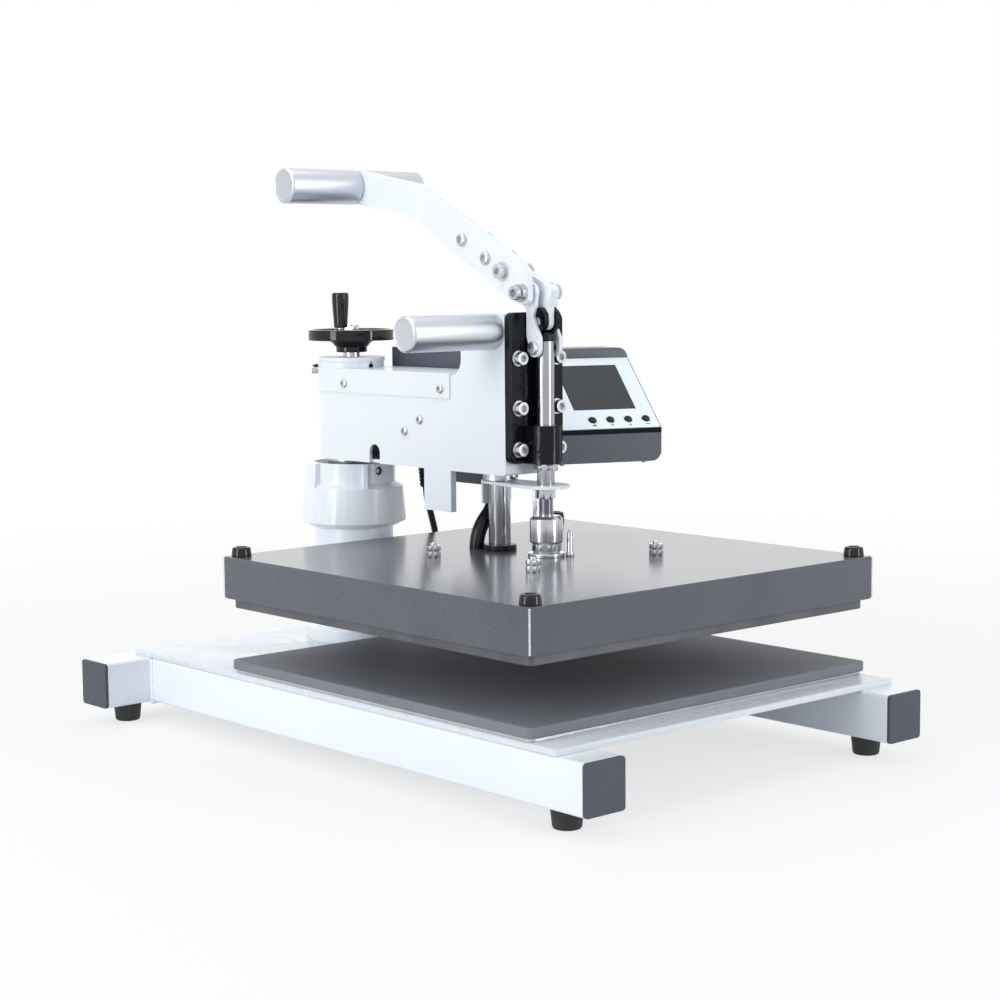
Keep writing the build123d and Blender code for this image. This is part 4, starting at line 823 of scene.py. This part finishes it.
class PRESS_OT_column(Operator):
    """Make the column with its collar, and the swing post inside"""
    bl_idname = "press.column"
    bl_label = "Column"

    def execute(self, context):
        column = Extent("column_tube")
        foot = Extent("base_plate").z1 + 12.0
        wall = [(COLUMN_BORE, column.z0), (COLUMN_FOOT, column.z0), (COLUMN_FOOT, foot - 1.6),
                (COLUMN_FOOT - 1.6, foot), (COLUMN_RADIUS + 1.6, foot), (COLUMN_RADIUS, foot + 2.0),
                (COLUMN_RADIUS, column.z1 - 0.8), (COLUMN_RADIUS - 0.8, column.z1), (COLUMN_BORE, column.z1)]
        axis = (0, column.y, 0)
        turned("Column tube", "column_tube", "Frame paint", wall, axis, closed=True, ease=0.6, steps=96)
        softened("stop_collar", "Frame paint", 0.0009, 3, 2.0)
        softened("collar_lock_screw", "Black steel", 0.0003)
        painted("column_bushes", "Bearing bronze")
        painted("height_nut", "Bearing bronze")
        painted("swing_post", "Ground shaft")
        collar = Extent("stop_collar").z1
        turned("Swing bearing washer", "swing_post", "Zinc plate",
               tube_wall(POST_RADIUS + 0.05, POST_RADIUS + 2.4, collar + 1.0, collar + 3.4), axis, closed=True,
               ease=0.3, own=False)
        return {"FINISHED"}


SCREW_RADIUS = 8.06
TURRET_RADIUS = 30.6
# The turret screw's outward direction, and that of the disc painted as the shade in the turret's screw hole.
TURRET_SIDE, TURRET_FRONT = (-0.749, 0.662, 0.0), (-0.035, -0.999, 0.0)
ARM_FACE, COVER_FACE = 30.0, 31.5
COVER_SCREWS_Y = (42.0, 178.0)
ARM_SCREWS = ((72.0, 272.0), (93.0, 261.0))


class PRESS_OT_arm(Operator):
    """Make the arm, its folded top cover, the turret cap and the screws"""
    bl_idname = "press.arm"
    bl_label = "Arm"

    def execute(self, context):
        softened("arm_shell", "Frame paint", context.scene.press_sizes.sheet_edge, 3, 2.0)
        softened("arm_top_cover", "Frame paint", 0.0005, 2, 2.0)
        cap = Extent("turret_cap")
        turned("Turret cap", "turret_cap", "Frame paint", tube_wall(SCREW_RADIUS, TURRET_RADIUS, cap.z0, cap.z1),
               (0, cap.y, 0), closed=True, ease=1.0, steps=96)

        row = Extent("arm_top_cover").z1 - 13.5
        places = []
        for y in COVER_SCREWS_Y:
            places += [((COVER_FACE, y, row), RIGHT, 12), ((-COVER_FACE, y, row), LEFT, 25)]
        places += [((-ARM_FACE, y, z), LEFT, roll) for (y, z), roll in zip(ARM_SCREWS, (40, 5))]
        like_pieces("Arm screws", "arm_screws", "Zinc with painted sheen",
                    socket_screw(4.1, 2.4, 1.9, shank_radius=1.9, shank=4.4, dome=1.1), places)

        def on_turret(facing, radius, z):
            return (facing[0] * radius, cap.y + facing[1] * radius, z)

        pinch = hex_nut(4.0, 6.0)
        turn(pinch, rod(2.5, -1.5, 0.2), steps=24)
        extra("Turret screw", "arm_screws", "Zinc plate", pinch, on_turret(TURRET_SIDE, 31.0, cap.z0 - 6.9),
              TURRET_SIDE, 12)
        # A black disc painted as the shade inside the turret's screw hole.
        hole_shade = bmesh.new()
        turn(hole_shade, rod(2.3, -1.0, 0.2), steps=36)
        extra("Turret grub screw", "turret_cap", "Painted shade black", hole_shade,
              on_turret(TURRET_FRONT, ARM_FACE, cap.z0 - 3.6), TURRET_FRONT)
        # A thin black rod painted as the shade in the turret's slit.
        slit = bmesh.new()
        turn(slit, [(0, cap.z0 - 1.7), (0.45, cap.z0 - 1.5), (0.45, cap.z0 + 3.1), (0, cap.z0 + 3.3)],
             on_turret(TURRET_FRONT, ARM_FACE + 0.05, 0), steps=12)
        attend(new_piece("Turret slit", slit, "Painted shade black"), "turret_cap")
        return {"FINISHED"}


SHAFT_RADIUS, SHAFT_NECK, GUIDE_RADIUS = 7.5, 6.0, 9.5
SHAFT_X, SHAFT_Y = 0.0, -57.0
BOSS_REACH = 24.0
CASTING_BOLT_SIDE = 21.5
CASTING_BOLT_HEIGHTS = (252.0, 286.5, 328.0)
# The boss's lock screw, by its X and Z, and the guide ring screw's outward direction.
BOSS_SCREW = (-13.5, 251.0)
GUIDE_SCREW_FACING = (0.33, -0.944, 0)


class PRESS_OT_head(Operator):
    """Make the head casting, its bolts and bearings"""
    bl_idname = "press.head"
    bl_label = "Head casting"

    def execute(self, context):
        softened("head_casting", "Casting paint", context.scene.press_sizes.casting_edge, 3, 2.0)
        face = Extent("head_casting").y0 + BOSS_REACH
        places = [((side * CASTING_BOLT_SIDE, face, z), FORWARD, 17 * side + z) for side in SIDES
                  for z in CASTING_BOLT_HEIGHTS]
        like_pieces("Casting bolts", "casting_bolts", "Zinc with painted sheen",
                    socket_screw(5.5, 6.0, 2.8, 6.6, 1.2, 2.95, 14.0), places)
        x, z = BOSS_SCREW
        extra("Boss lock screw", "casting_bolts", "Zinc plate", socket_screw(3.2, 3.4, 1.7), (x, face, z), FORWARD,
              20)
        painted("slide_bushes", "Zinc sheet")
        ring = Extent("slide_bushes").z0
        extra("Shaft gland nut", "slide_bushes", "Zinc plate", hex_nut(9.0, 5.0, SHAFT_RADIUS + 0.2),
              (SHAFT_X, SHAFT_Y, ring + 12.2), UP, 10)
        post_y = Extent("guide_post").y0 + GUIDE_RADIUS
        extra("Guide ring screw", "slide_bushes", "Zinc plate", socket_screw(3.3, 3.0, 1.7),
              (4.6, post_y - 13.3, ring + 3.6), GUIDE_SCREW_FACING)
        pin = Extent("fulcrum_pin")
        turned("Fulcrum pin", "fulcrum_pin", "Zinc plate", rod(3.98, pin.x0, pin.x1), (0, pin.y, pin.z), "X")
        return {"FINISHED"}


def grip_piece(name, node, outer, inner, radius):
    """A turned aluminium grip along X, with a rounded rim round a dished outer end."""
    box = Extent(node)
    sign = 1 if inner > outer else -1
    length = abs(inner - outer)
    profile = [(0, 0.5), (radius - 3.0, 0.5), (radius - 2.6, 0.0), (radius - 1.8, 0.0), (radius, 1.8),
               (radius, length - 1.2), (radius - 1.2, length), (0, length)]
    turned(name, node, "Anodised grip", [(r, outer + sign * along) for r, along in profile], (0, box.y, box.z), "X",
           96, 0.6)


class PRESS_OT_side_handle(Operator):
    """Make the carrying handle on the arm's side"""
    bl_idname = "press.side_handle"
    bl_label = "Side handle"

    def execute(self, context):
        grip_piece("Carrying handle", "side_handle", Extent("side_handle").x0, -ARM_FACE - 0.1, 15.0)
        return {"FINISHED"}


# The control box: its near lower left corner, its turn to the operator's right, and its panel's slant.
BOX_CORNER = Vector((34.0, -36.0, 264.0))
BOX_TURN = math.radians(20.8)
BOX_ROW = Vector((math.cos(BOX_TURN), -math.sin(BOX_TURN), 0.0))
BOX_INWARD = Vector((math.sin(BOX_TURN), math.cos(BOX_TURN), 0.0))
BOX_LENGTH = 96.7
BOX_FLOOR = 29.0
PANEL_LEAN = math.atan2(72.2, 58.6)
BUTTONS = ("menu_button", "down_button", "up_button", "power_button")
# A bare mark under each button: its outline along the row and up the slope.
BUTTON_MARKS = (
    ((-1.5, -0.9), (1.5, -0.9), (1.5, 0.9), (-1.5, 0.9)), ((-1.2, 1.0), (0.0, -1.2), (1.2, 1.0)),
    ((-1.2, -1.2), (1.2, -1.2), (0.0, 1.0)), ((-2.2, -0.4), (2.2, -0.4), (2.2, 0.4), (-2.2, 0.4)))
MARK_DROP = 6.6
MARK_LEVELS = (0.8, 1.12)


def on_box(along, depth, rise=0.0):
    """A place in millimetres from the box's corner: along its row, inwards and up."""
    return BOX_CORNER + BOX_ROW * along + BOX_INWARD * depth + Vector((0, 0, rise))


def panel_frame(button):
    """A frame in metres at a button on the slanted panel: X along the row, Y up the slope, Z outwards."""
    low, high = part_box(button)
    up = BOX_INWARD * math.sin(PANEL_LEAN) + Vector((0, 0, math.cos(PANEL_LEAN)))
    return frame_of(BOX_ROW, up, BOX_ROW.cross(up), (low + high) / 2)


def prism(bm, lower, upper):
    """A closed solid between two outlines of points in metres."""
    under, over = [[bm.verts.new(point) for point in outline] for outline in (lower, upper)]
    bm.faces.new(under)
    bm.faces.new(over)
    bridge(bm, under, over)


class PRESS_OT_control_box(Operator):
    """Make the control box, its panel, display and buttons"""
    bl_idname = "press.control_box"
    bl_label = "Control box"

    def execute(self, context):
        softened("control_box", "Box paint", context.scene.press_sizes.moulding_edge, 3, 2.0)
        softened("control_panel", "Panel film", 0.0006)
        softened("display_window", "Display window", 0.0003)
        painted("circuit_board", "Circuit board")
        marks = bmesh.new()
        for node, shape in zip(BUTTONS, BUTTON_MARKS):
            place = panel_frame(node)
            bm = bmesh.new()
            profile = [(0, -2.5), (3.45, -2.5), (3.45, 2.0), (2.9, 2.5), (1.6, 2.3), (0, 2.15)]
            turn(bm, eased(profile, 0.35), steps=40)
            bmesh.ops.transform(bm, matrix=place, verts=bm.verts)
            belong(new_piece(node.replace("_", " ").capitalize(), bm, "Button film"), node)
            prism(marks, *[[place @ (Vector((x, y - MARK_DROP, z)) * MM) for x, y in shape] for z in MARK_LEVELS])
        attend(new_piece("Button marks", marks, "Panel print"), "control_panel")

        # A black strip painted as the shadow in the seam under the panel.
        seam = bmesh.new()
        outline = ((-0.1, 1.0), (-0.1, -0.5), (BOX_LENGTH + 0.1, -0.5), (BOX_LENGTH + 0.1, 1.0))
        prism(seam, *[[on_box(along, depth, z) * MM for along, depth in outline] for z in (-4.2, -0.2)])
        attend(new_piece("Box seam gasket", seam, "Painted shade black"), "control_box")
        places = [(on_box(along, depth, -BOX_FLOOR), DOWN, 10 * along)
                  for along, depth in ((6.0, 6.0), (83.0, 6.0), (6.0, 100.0), (83.0, 100.0))]
        like_pieces("Box screws", "control_box", "Zinc plate", socket_screw(2.3, 1.6, 1.1, dome=0.6), places,
                    own=False)
        return {"FINISHED"}


# The fulcrum's Y and Z, and the lever's bolts and crank pivot as steps from it.
FULCRUM = (-57.0, 358.0)
LEVER_BOLTS = ((80.0, 68.7), (49.7, 52.8), (29.0, 41.8))
CRANK_PIVOT = (5.0, 24.0)
LEVER_BOLT_RADIUS = 3.95


class PRESS_OT_lever(Operator):
    """Make the lever: its plate, bar, bolts, spacers and two grips"""
    bl_idname = "press.lever"
    bl_label = "Lever"

    def execute(self, context):
        edge = context.scene.press_sizes.sheet_edge
        softened("lever_plate", "Frame paint", edge, 3, 2.0)
        softened("lever_bar", "Frame paint", edge, 3, 2.0)
        plate, bar = Extent("lever_plate").x0, Extent("lever_bar").x1
        bolts = [(FULCRUM[0] + y, FULCRUM[1] + z) for y, z in LEVER_BOLTS]
        places = [((plate, y, z), LEFT, 20 * index) for index, (y, z) in enumerate(bolts)]
        small = socket_screw(5.6, 3.6, 2.7, shank_radius=LEVER_BOLT_RADIUS, shank=30.0, dome=1.4)
        large = socket_screw(6.2, 5.0, 2.8, 8.0, 1.4, LEVER_BOLT_RADIUS, 30.0)
        for pattern in (small, large):
            turn(pattern, tube_wall(LEVER_BOLT_RADIUS, 6.0, -17.0, -6.1), steps=40, closed=True)
        like_pieces("Lever bolts", "lever_bolts", "Zinc with painted sheen", small, places[:2])
        like_pieces("Lever washer bolt", "lever_bolts", "Zinc with painted sheen", large, places[2:], own=False)
        nuts = [((bar + 0.05, y, z), RIGHT, 11 * index) for index, (y, z) in enumerate(bolts)]
        like_pieces("Lever nuts", "lever_bolts", "Zinc plate", hex_nut(6.0, 5.4), nuts, own=False)

        y, z = FULCRUM[0] + CRANK_PIVOT[0], FULCRUM[1] + CRANK_PIVOT[1]
        extra("Lever pivot bolt", "lever_bolts", "Zinc plate",
              socket_screw(6.0, 5.0, 3.0, 7.3, 5.0, LEVER_BOLT_RADIUS, 33.0), (plate, y, z), LEFT, 8)
        extra("Lever pivot nut", "lever_bolts", "Zinc plate", hex_nut(6.2, 5.4),
              (Extent("lever_bolts").x1 - 5.5, y, z), RIGHT, 14)
        left, right = Extent("left_grip"), Extent("right_grip")
        grip_piece("Left grip", "left_grip", left.x0, left.x1, 15.5)
        grip_piece("Right grip", "right_grip", right.x1, right.x0, 15.5)
        painted("grip_stud", "Zinc plate")
        return {"FINISHED"}


class PRESS_OT_toggle(Operator):
    """Make the toggle links and their pins"""
    bl_idname = "press.toggle"
    bl_label = "Toggle links"

    def execute(self, context):
        softened("toggle_links", "Frame paint", 0.0005, 2, 2.0)
        pins = Extent("link_pins")
        head = 3.0
        bm = bmesh.new()
        turn(bm, eased([(0, 0), (5.6, 0), (5.6, head * 0.7), (5.0, head), (0, head)], 0.6), steps=40)
        turn(bm, rod(3.45, -3.4, 0.2), steps=32)
        places = [((pins.x0 + head, pins.y, pins.z), LEFT, 0), ((pins.x1 - head, pins.y, pins.z), RIGHT, 0)]
        like_pieces("Link pins", "link_pins", "Zinc with painted sheen", bm, places)
        return {"FINISHED"}


YOKE_THICKNESS = 2.5
# The gauge rod's steps from the shaft's line, in X and Y.
GAUGE_ROD = (-8.0, 5.0)
COUPLING_RADIUS, COUPLING_BORE, COUPLING_LENGTH = 14.0, 5.9, 23.0
FLANGE_RADIUS, FLANGE_HEIGHT = 15.5, 3.4
POST_FLANGE_RADIUS, POST_FLANGE_HEIGHT = 14.5, 5.0


class PRESS_OT_ram(Operator):
    """Make the press shaft, guide post, yoke, coupling, flanges and nuts"""
    bl_idname = "press.ram"
    bl_label = "Press shaft and guide"

    def execute(self, context):
        shaft, head, post = Extent("press_shaft"), Extent("shaft_head"), Extent("guide_post")
        x, y = SHAFT_X, SHAFT_Y
        yoke = Extent("yoke_plate").z1 - YOKE_THICKNESS
        steps = [(0, shaft.z0), (SHAFT_NECK, shaft.z0), (SHAFT_NECK, yoke), (SHAFT_RADIUS, yoke),
                 (SHAFT_RADIUS, shaft.z1), (0, shaft.z1)]
        turned("Press shaft", "press_shaft", "Ground shaft", steps, (x, y, 0), ease=0.4)
        knob = [(0, head.z0), (8.5, head.z0), (8.5, head.z1 - 1.5), (6.5, head.z1), (0, head.z1)]
        turned("Shaft head", "shaft_head", "Black steel", knob, (x, y, 0), ease=0.8)
        softened("yoke_plate", "Frame paint", 0.0004, 2, 2.0)
        radius, end = GUIDE_RADIUS, post.z1
        guide = [(0, post.z0), (radius, post.z0), (radius, end - 1.0), (radius - 1.0, end), (0, end)]
        turned("Guide post", "guide_post", "Ground shaft", guide, (x, post.y, 0), ease=0.4)

        joint = Extent("shaft_coupling")
        low, shoulder = joint.z0, joint.z0 + COUPLING_LENGTH
        knuckle = [(COUPLING_BORE, low), (COUPLING_RADIUS - 1.2, low), (COUPLING_RADIUS, low + 1.6),
                   (COUPLING_RADIUS, shoulder - 2.6), (COUPLING_RADIUS - 2.8, shoulder), (COUPLING_BORE, shoulder)]
        turned("Coupling", "shaft_coupling", "Zinc plate", knuckle, (x, y, 0), closed=True, ease=0.3)
        turned("Gauge rod", "shaft_coupling", "Zinc plate", rod(1.8, shoulder - 1.0, joint.z1),
               (x + GAUGE_ROD[0], y + GAUGE_ROD[1], 0), ease=0.2, own=False, steps=32)

        cover = Extent("platen_cover").z1
        radius, rim = FLANGE_RADIUS, cover + FLANGE_HEIGHT
        flange = [(0, cover), (radius, cover), (radius, rim - 0.5), (radius - 0.5, rim), (0, rim)]
        turned("Shaft flange", "platen_flanges", "Zinc plate", flange, (x, y, 0), ease=0.3, own=False)
        radius, top = POST_FLANGE_RADIUS, cover + POST_FLANGE_HEIGHT
        foot = [(GUIDE_RADIUS, cover), (radius, cover), (radius, top - 0.6), (radius - 0.6, top), (GUIDE_RADIUS, top)]
        turned("Guide post flange", "platen_flanges", "Black steel", foot, (x, post.y, 0), closed=True, ease=0.4)
        like_pieces("Coupling nut", "shaft_nuts", "Zinc plate", hex_nut(10.4, 8.0), [((x, y, rim), UP, 10)])
        extra("Yoke lock nut", "shaft_nuts", "Zinc plate", hex_nut(7.0, 9.0, SHAFT_NECK), (x, y, yoke - 9.0), UP, 22)
        return {"FINISHED"}


CAP_INSET = 11.0
STUD_SIDE, STUD_FRONT = 70.0, 62.0
STUD_RADIUS = 2.75
# The heat probe's place on the cover, in X and Y.
PROBE = (14.0, -71.0)
HOSE_RADIUS = 6.4
HOSE_Y = 22.0


class PRESS_OT_platen(Operator):
    """Make the heated platen with its cover, caps, studs and hose"""
    bl_idname = "press.platen"
    bl_label = "Heated platen"

    def execute(self, context):
        sizes = context.scene.press_sizes
        softened("platen_cover", "Platen paint", sizes.cover_edge, 4)
        softened("heat_plate", "Heat plate", 0.0008)
        painted("heating_element", "Heating tube")
        painted("insulation_sheet", "Fibre blanket")
        cover = Extent("platen_cover")
        top = cover.z1
        seam = cover.half_x - 0.3 * sizes.cover_edge / MM
        runs = [[(sx * seam, cover.y + sy * seam, z) for z in (cover.z0 + 2.0, top - 1.6)] for sx, sy in CORNERS]
        welds("Cover corner welds", "platen_cover", "Zinc with painted sheen", runs, sizes.seam_width, 0.8 * sizes.weld_pitch)

        bm = bmesh.new()
        cap = [(0, 0), (8.5, 0), (8.5, 1.4), (7.9, 6.4), (7.2, 7.7), (6.2, 8.0), (4.9, 7.9), (4.4, 7.2), (0, 7.1)]
        turn(bm, eased(cap, 0.5), steps=64)
        spread = cover.half_x - CAP_INSET
        places = [((sx * spread, cover.y + sy * spread, top), UP, 0) for sx, sy in CORNERS]
        like_pieces("Corner caps", "corner_caps", "Polished phenolic", bm, places)

        studs = [(sx * STUD_SIDE, cover.y + sy * STUD_FRONT) for sx, sy in CORNERS]
        pattern = hex_nut(5.3, 5.0)
        upper_nut = [(5.3, 5.3, 5.4), (5.3, 5.8, 6.12), (5.3, 9.2, 6.12), (5.3, 9.7, 5.4)]
        turn(pattern, [(0, 5.3)] + upper_nut + [(0, 9.7)], steps=48)
        turn(pattern, eased([(0, 4.8), (STUD_RADIUS, 4.8), (STUD_RADIUS, 11.4), (2.0, 12.2), (0, 12.2)], 0.3),
             steps=28)
        places = [((x, y, top), UP, 13 * index) for index, (x, y) in enumerate(studs)]
        like_pieces("Platen studs", "platen_studs", "Zinc plate", pattern, places)
        turns = max(2, int(2.4 * MM / sizes.thread_pitch) + 1)
        for index, (x, y) in enumerate(studs):
            rings("Stud thread %d" % (index + 1), "platen_studs", "Zinc plate", (x, y, top + 9.9), (x, y, top + 11.3),
                  turns, (STUD_RADIUS, STUD_RADIUS), 0.24)
        probe = [(0, top), (3.6, top), (3.6, top + 3.0), (2.5, top + 3.6), (2.5, top + 20.6), (1.5, top + 22.0),
                 (0, top + 22.0)]
        turned("Heat probe", "platen_studs", "Zinc plate", probe, (*PROBE, 0), ease=0.4, steps=40, own=False)

        yoke = Extent("yoke_plate").z1 - YOKE_THICKNESS
        route = [(-9.0, HOSE_Y, top), (-9.0, HOSE_Y, top + 16.0), (14.0, HOSE_Y, yoke - 20.0), (14.0, HOSE_Y, yoke)]
        hose = tube("Heater hose", smooth_route("Hose line", route, 24), HOSE_RADIUS * MM, "Hose rubber", 32)
        belong(hose, "heater_sleeve")
        return {"FINISHED"}


WHEEL_RADIUS, WHEEL_DEPTH = 40.0, 10.0
HUB_RADIUS, HUB_RISE = 14.4, 11.0
SCREW_CORE, COLLAR_RADIUS = 8.0, 12.0
CRANK_RADIUS, STEM_RADIUS = 7.75, 3.5


class PRESS_OT_handwheel(Operator):
    """Make the height handwheel, its screw and the crank grip"""
    bl_idname = "press.handwheel"
    bl_label = "Handwheel"

    def execute(self, context):
        screw, grip = Extent("pressure_screw"), Extent("crank_grip")
        hub = Extent("handwheel").z0
        bottom = hub + HUB_RISE
        top = bottom + WHEEL_DEPTH
        rim, bore = WHEEL_RADIUS, SCREW_CORE + 0.05
        wheel = [(bore, hub), (13.9, hub), (HUB_RADIUS, hub + 0.6), (HUB_RADIUS, hub + 4.6), (15.2, hub + 5.2),
                 (20.5, bottom - 0.3), (rim - 0.8, bottom), (rim, bottom + 0.8), (rim, top - 0.8),
                 (rim - 0.6, top - 0.2), (rim - 3.0, top), (rim - 4.4, top - 0.8), (rim - 5.0, bottom + 4.6),
                 (33.6, bottom + 4.0), (15.0, bottom + 4.0), (13.0, bottom + 5.4), (12.5, top - 1.0),
                 (bore, top - 1.0)]
        turned("Handwheel", "handwheel", "Polished phenolic", wheel, (0, screw.y, 0), closed=True, ease=0.3,
               steps=120)
        crank = (grip.x, grip.y, 0)
        boss = [(0, bottom + 2.0), (CRANK_RADIUS, bottom + 2.0), (CRANK_RADIUS, top - 1.0), (7.0, top - 0.4),
                (0, top - 0.4)]
        turned("Crank boss", "handwheel", "Polished phenolic", boss, crank, steps=48, own=False)
        turned("Crank stem", "handwheel", "Zinc plate", rod(STEM_RADIUS, top - 0.6, grip.z0 + 20.0), crank, ease=0.3,
               steps=40, own=False)
        seat = Extent("turret_cap").z0 - 0.3
        core = [(0, screw.z0), (SCREW_CORE, screw.z0), (SCREW_CORE, seat - 4.3), (COLLAR_RADIUS, seat - 4.0),
                (COLLAR_RADIUS, seat), (SCREW_CORE, seat), (SCREW_CORE, top - 1.0), (6.5, top - 1.0, 7.5),
                (6.5, screw.z1 - 0.8, 7.5), (6.5, screw.z1, 6.6), (0, screw.z1)]
        turned("Height screw", "pressure_screw", "Zinc plate", core, (0, screw.y, 0), ease=0.3, steps=48)
        low, high, hole = grip.z0, grip.z1, STEM_RADIUS + 0.06
        knob = [(hole, low), (5.6, low), (6.2, low + 0.8), (6.7, low + 9.0), (7.5, low + 20.0),
                (CRANK_RADIUS, high - 5.0), (7.6, high - 1.0), (6.8, high - 0.1), (0, high), (0, high - 2.9),
                (hole, high - 2.9)]
        turned("Crank grip", "crank_grip", "Polished phenolic", knob, crank, ease=0.7, steps=56)
        return {"FINISHED"}


# ---- Stage ----
def white_for(node, *rays):
    """A socket that is 1 for the kinds of ray that see the white background."""
    path = node("ShaderNodeLightPath").outputs
    seen = path[rays[0]]
    for ray in rays[1:]:
        seen = node("ShaderNodeMath", {0: path[ray], 1: seen}, operation="MAXIMUM").outputs[0]
    return seen


def empty_tree(owner):
    """An emptied shader tree on a material or a world, as a function that adds nodes to it."""
    owner.use_nodes = True
    owner.node_tree.nodes.clear()
    return partial(add_node, owner.node_tree)


def mixed(node, factor, first, second):
    """A blend of two shaders."""
    return node("ShaderNodeMixShader", {0: factor, 1: first, 2: second})


WHITE = (1, 1, 1, 1)
# The lamps: name, place, aim, size, power and colour.
LAMPS = (
    ("Left softbox", (-2.6, -0.5, 1.5), (0, 0, 0.25), (1.2, 1.9), 11, (0.98, 0.99, 1.0)),
    ("Left strip", (-1.6, 0.1, 0.52), (0, 0, 0.3), (0.45, 1.1), 9, (1, 1, 1)),
    ("Top softbox", (-0.2, 0.3, 2.4), (0, 0, 0.1), (2.2, 2.2), 20, (1, 1, 1)),
    ("Front strip", (0.45, -1.55, 0.5), (0, 0, 0.3), (0.25, 1.0), 7.5, (1, 1, 1)),
    ("Front fill", (1.6, -2.4, 1.3), (0, 0, 0.25), (1.4, 1.4), 5, (1, 1, 1)),
    ("Back card", (2.3, 2.6, 1.1), (0, 0, 0.3), (4.5, 2.0), 12, (1, 1, 1)),
)
CAMERA_PLACE = (-1.17859, -1.33478, 0.39914)
CAMERA_RIGHT, CAMERA_UP = Vector((0.74928, -0.66220, -0.00876)), Vector((0.07839, 0.07554, 0.99406))
CAMERA_LENS, CAMERA_SENSOR = 75.15, 36.0
FLOOR_REACH = 30


class PRESS_OT_stage(Operator):
    """Make the pale floor, the soft lights, the world and the camera"""
    bl_idname = "press.stage"
    bl_label = "Stage"

    def execute(self, context):
        scene = context.scene
        scene.view_settings.view_transform = "Standard"
        material = bpy.data.materials.new("Pale floor")
        node = empty_tree(material)
        coords = node("ShaderNodeTexCoord").outputs["Object"]
        distance = node("ShaderNodeVectorMath", {0: coords}, operation="LENGTH").outputs["Value"]
        # The floor keeps the machine's shadow close to it and fades into the background away from it.
        ramp = node("ShaderNodeMapRange", {"Value": distance, "From Min": 0.30, "From Max": 1.8, "To Min": 0.70,
                                           "To Max": 1.0}, interpolation_type="SMOOTHSTEP")
        seen = white_for(node, "Is Glossy Ray", "Is Camera Ray")
        fade = node("ShaderNodeMath", {0: seen, 1: ramp}, operation="MULTIPLY")
        matt = node("ShaderNodeBsdfDiffuse", {"Color": (0.78, 0.79, 0.80, 1)})
        glow = node("ShaderNodeEmission", {"Color": WHITE})
        node("ShaderNodeOutputMaterial", {"Surface": mixed(node, fade, matt, glow)})
        mesh = bpy.data.meshes.new("Floor")
        mesh.from_pydata([(x * FLOOR_REACH, y * FLOOR_REACH, 0) for x, y in ((-1, -1), (1, -1), (1, 1), (-1, 1))], [],
                         [(0, 1, 2, 3)])
        mesh.materials.append(material)
        add_object("Floor", mesh)

        world = bpy.data.worlds.new("Soft studio")
        scene.world = world
        node = empty_tree(world)
        soft = node("ShaderNodeBackground", {"Color": (0.97, 0.98, 1.0, 1), "Strength": 0.58})
        white = node("ShaderNodeBackground", {"Color": WHITE, "Strength": 1.0})
        seen = white_for(node, "Is Transmission Ray", "Is Glossy Ray", "Is Camera Ray")
        node("ShaderNodeOutputWorld", {"Surface": mixed(node, seen, soft, white)})

        for name, place, aim, size, power, colour in LAMPS:
            light = bpy.data.lights.new(name, "AREA")
            light.shape = "RECTANGLE"
            light.size, light.size_y = size
            light.energy = power
            light.color = colour
            holder = add_object(name, light)
            holder.location = place
            holder.rotation_euler = (Vector(aim) - Vector(place)).to_track_quat("-Z", "Y").to_euler()
            holder.visible_camera = False

        camera = bpy.data.cameras.new("Camera")
        camera.lens, camera.sensor_width = CAMERA_LENS, CAMERA_SENSOR
        camera.clip_start, camera.clip_end = 0.05, 60.0
        scene.camera = add_object("Camera", camera)
        scene.camera.matrix_world = frame_of(CAMERA_RIGHT, CAMERA_UP, CAMERA_RIGHT.cross(CAMERA_UP), CAMERA_PLACE)
        return {"FINISHED"}


# ---- The add-on ----
class PRESS_PT_panel(Panel):
    """The press's sizes, finishes and pieces"""
    bl_idname = "PRESS_PT_panel"
    bl_label = "Swing-away press"
    bl_space_type = "VIEW_3D"
    bl_region_type = "UI"
    bl_category = "Press"

    def draw(self, context):
        for title, group in (("Sizes", context.scene.press_sizes), ("Finishes", context.scene.press_finishes)):
            box = self.layout.box()
            box.label(text=title)
            for key in group.__annotations__:
                box.prop(group, key)
        column = self.layout.column(align=True)
        for operator in OPERATORS:
            column.operator(operator.bl_idname)


OPERATORS = (
    PRESS_OT_stage, PRESS_OT_mains_lead, PRESS_OT_base_frame, PRESS_OT_table, PRESS_OT_column, PRESS_OT_arm,
    PRESS_OT_head, PRESS_OT_side_handle, PRESS_OT_control_box, PRESS_OT_lever, PRESS_OT_toggle, PRESS_OT_ram,
    PRESS_OT_platen, PRESS_OT_handwheel,
)
CLASSES = (PressSizes, PressFinishes) + OPERATORS + (PRESS_PT_panel,)


def register():
    for cls in CLASSES:
        bpy.utils.register_class(cls)
    bpy.types.Scene.press_sizes = PointerProperty(type=PressSizes)
    bpy.types.Scene.press_finishes = PointerProperty(type=PressFinishes)


def unregister():
    del bpy.types.Scene.press_finishes
    del bpy.types.Scene.press_sizes
    for cls in reversed(CLASSES):
        bpy.utils.unregister_class(cls)


def main():
    """Build every piece in order."""
    register()
    for operator in OPERATORS:
        group, name = operator.bl_idname.split(".")
        getattr(getattr(bpy.ops, group), name)()


if __name__ == "__main__":
    main()
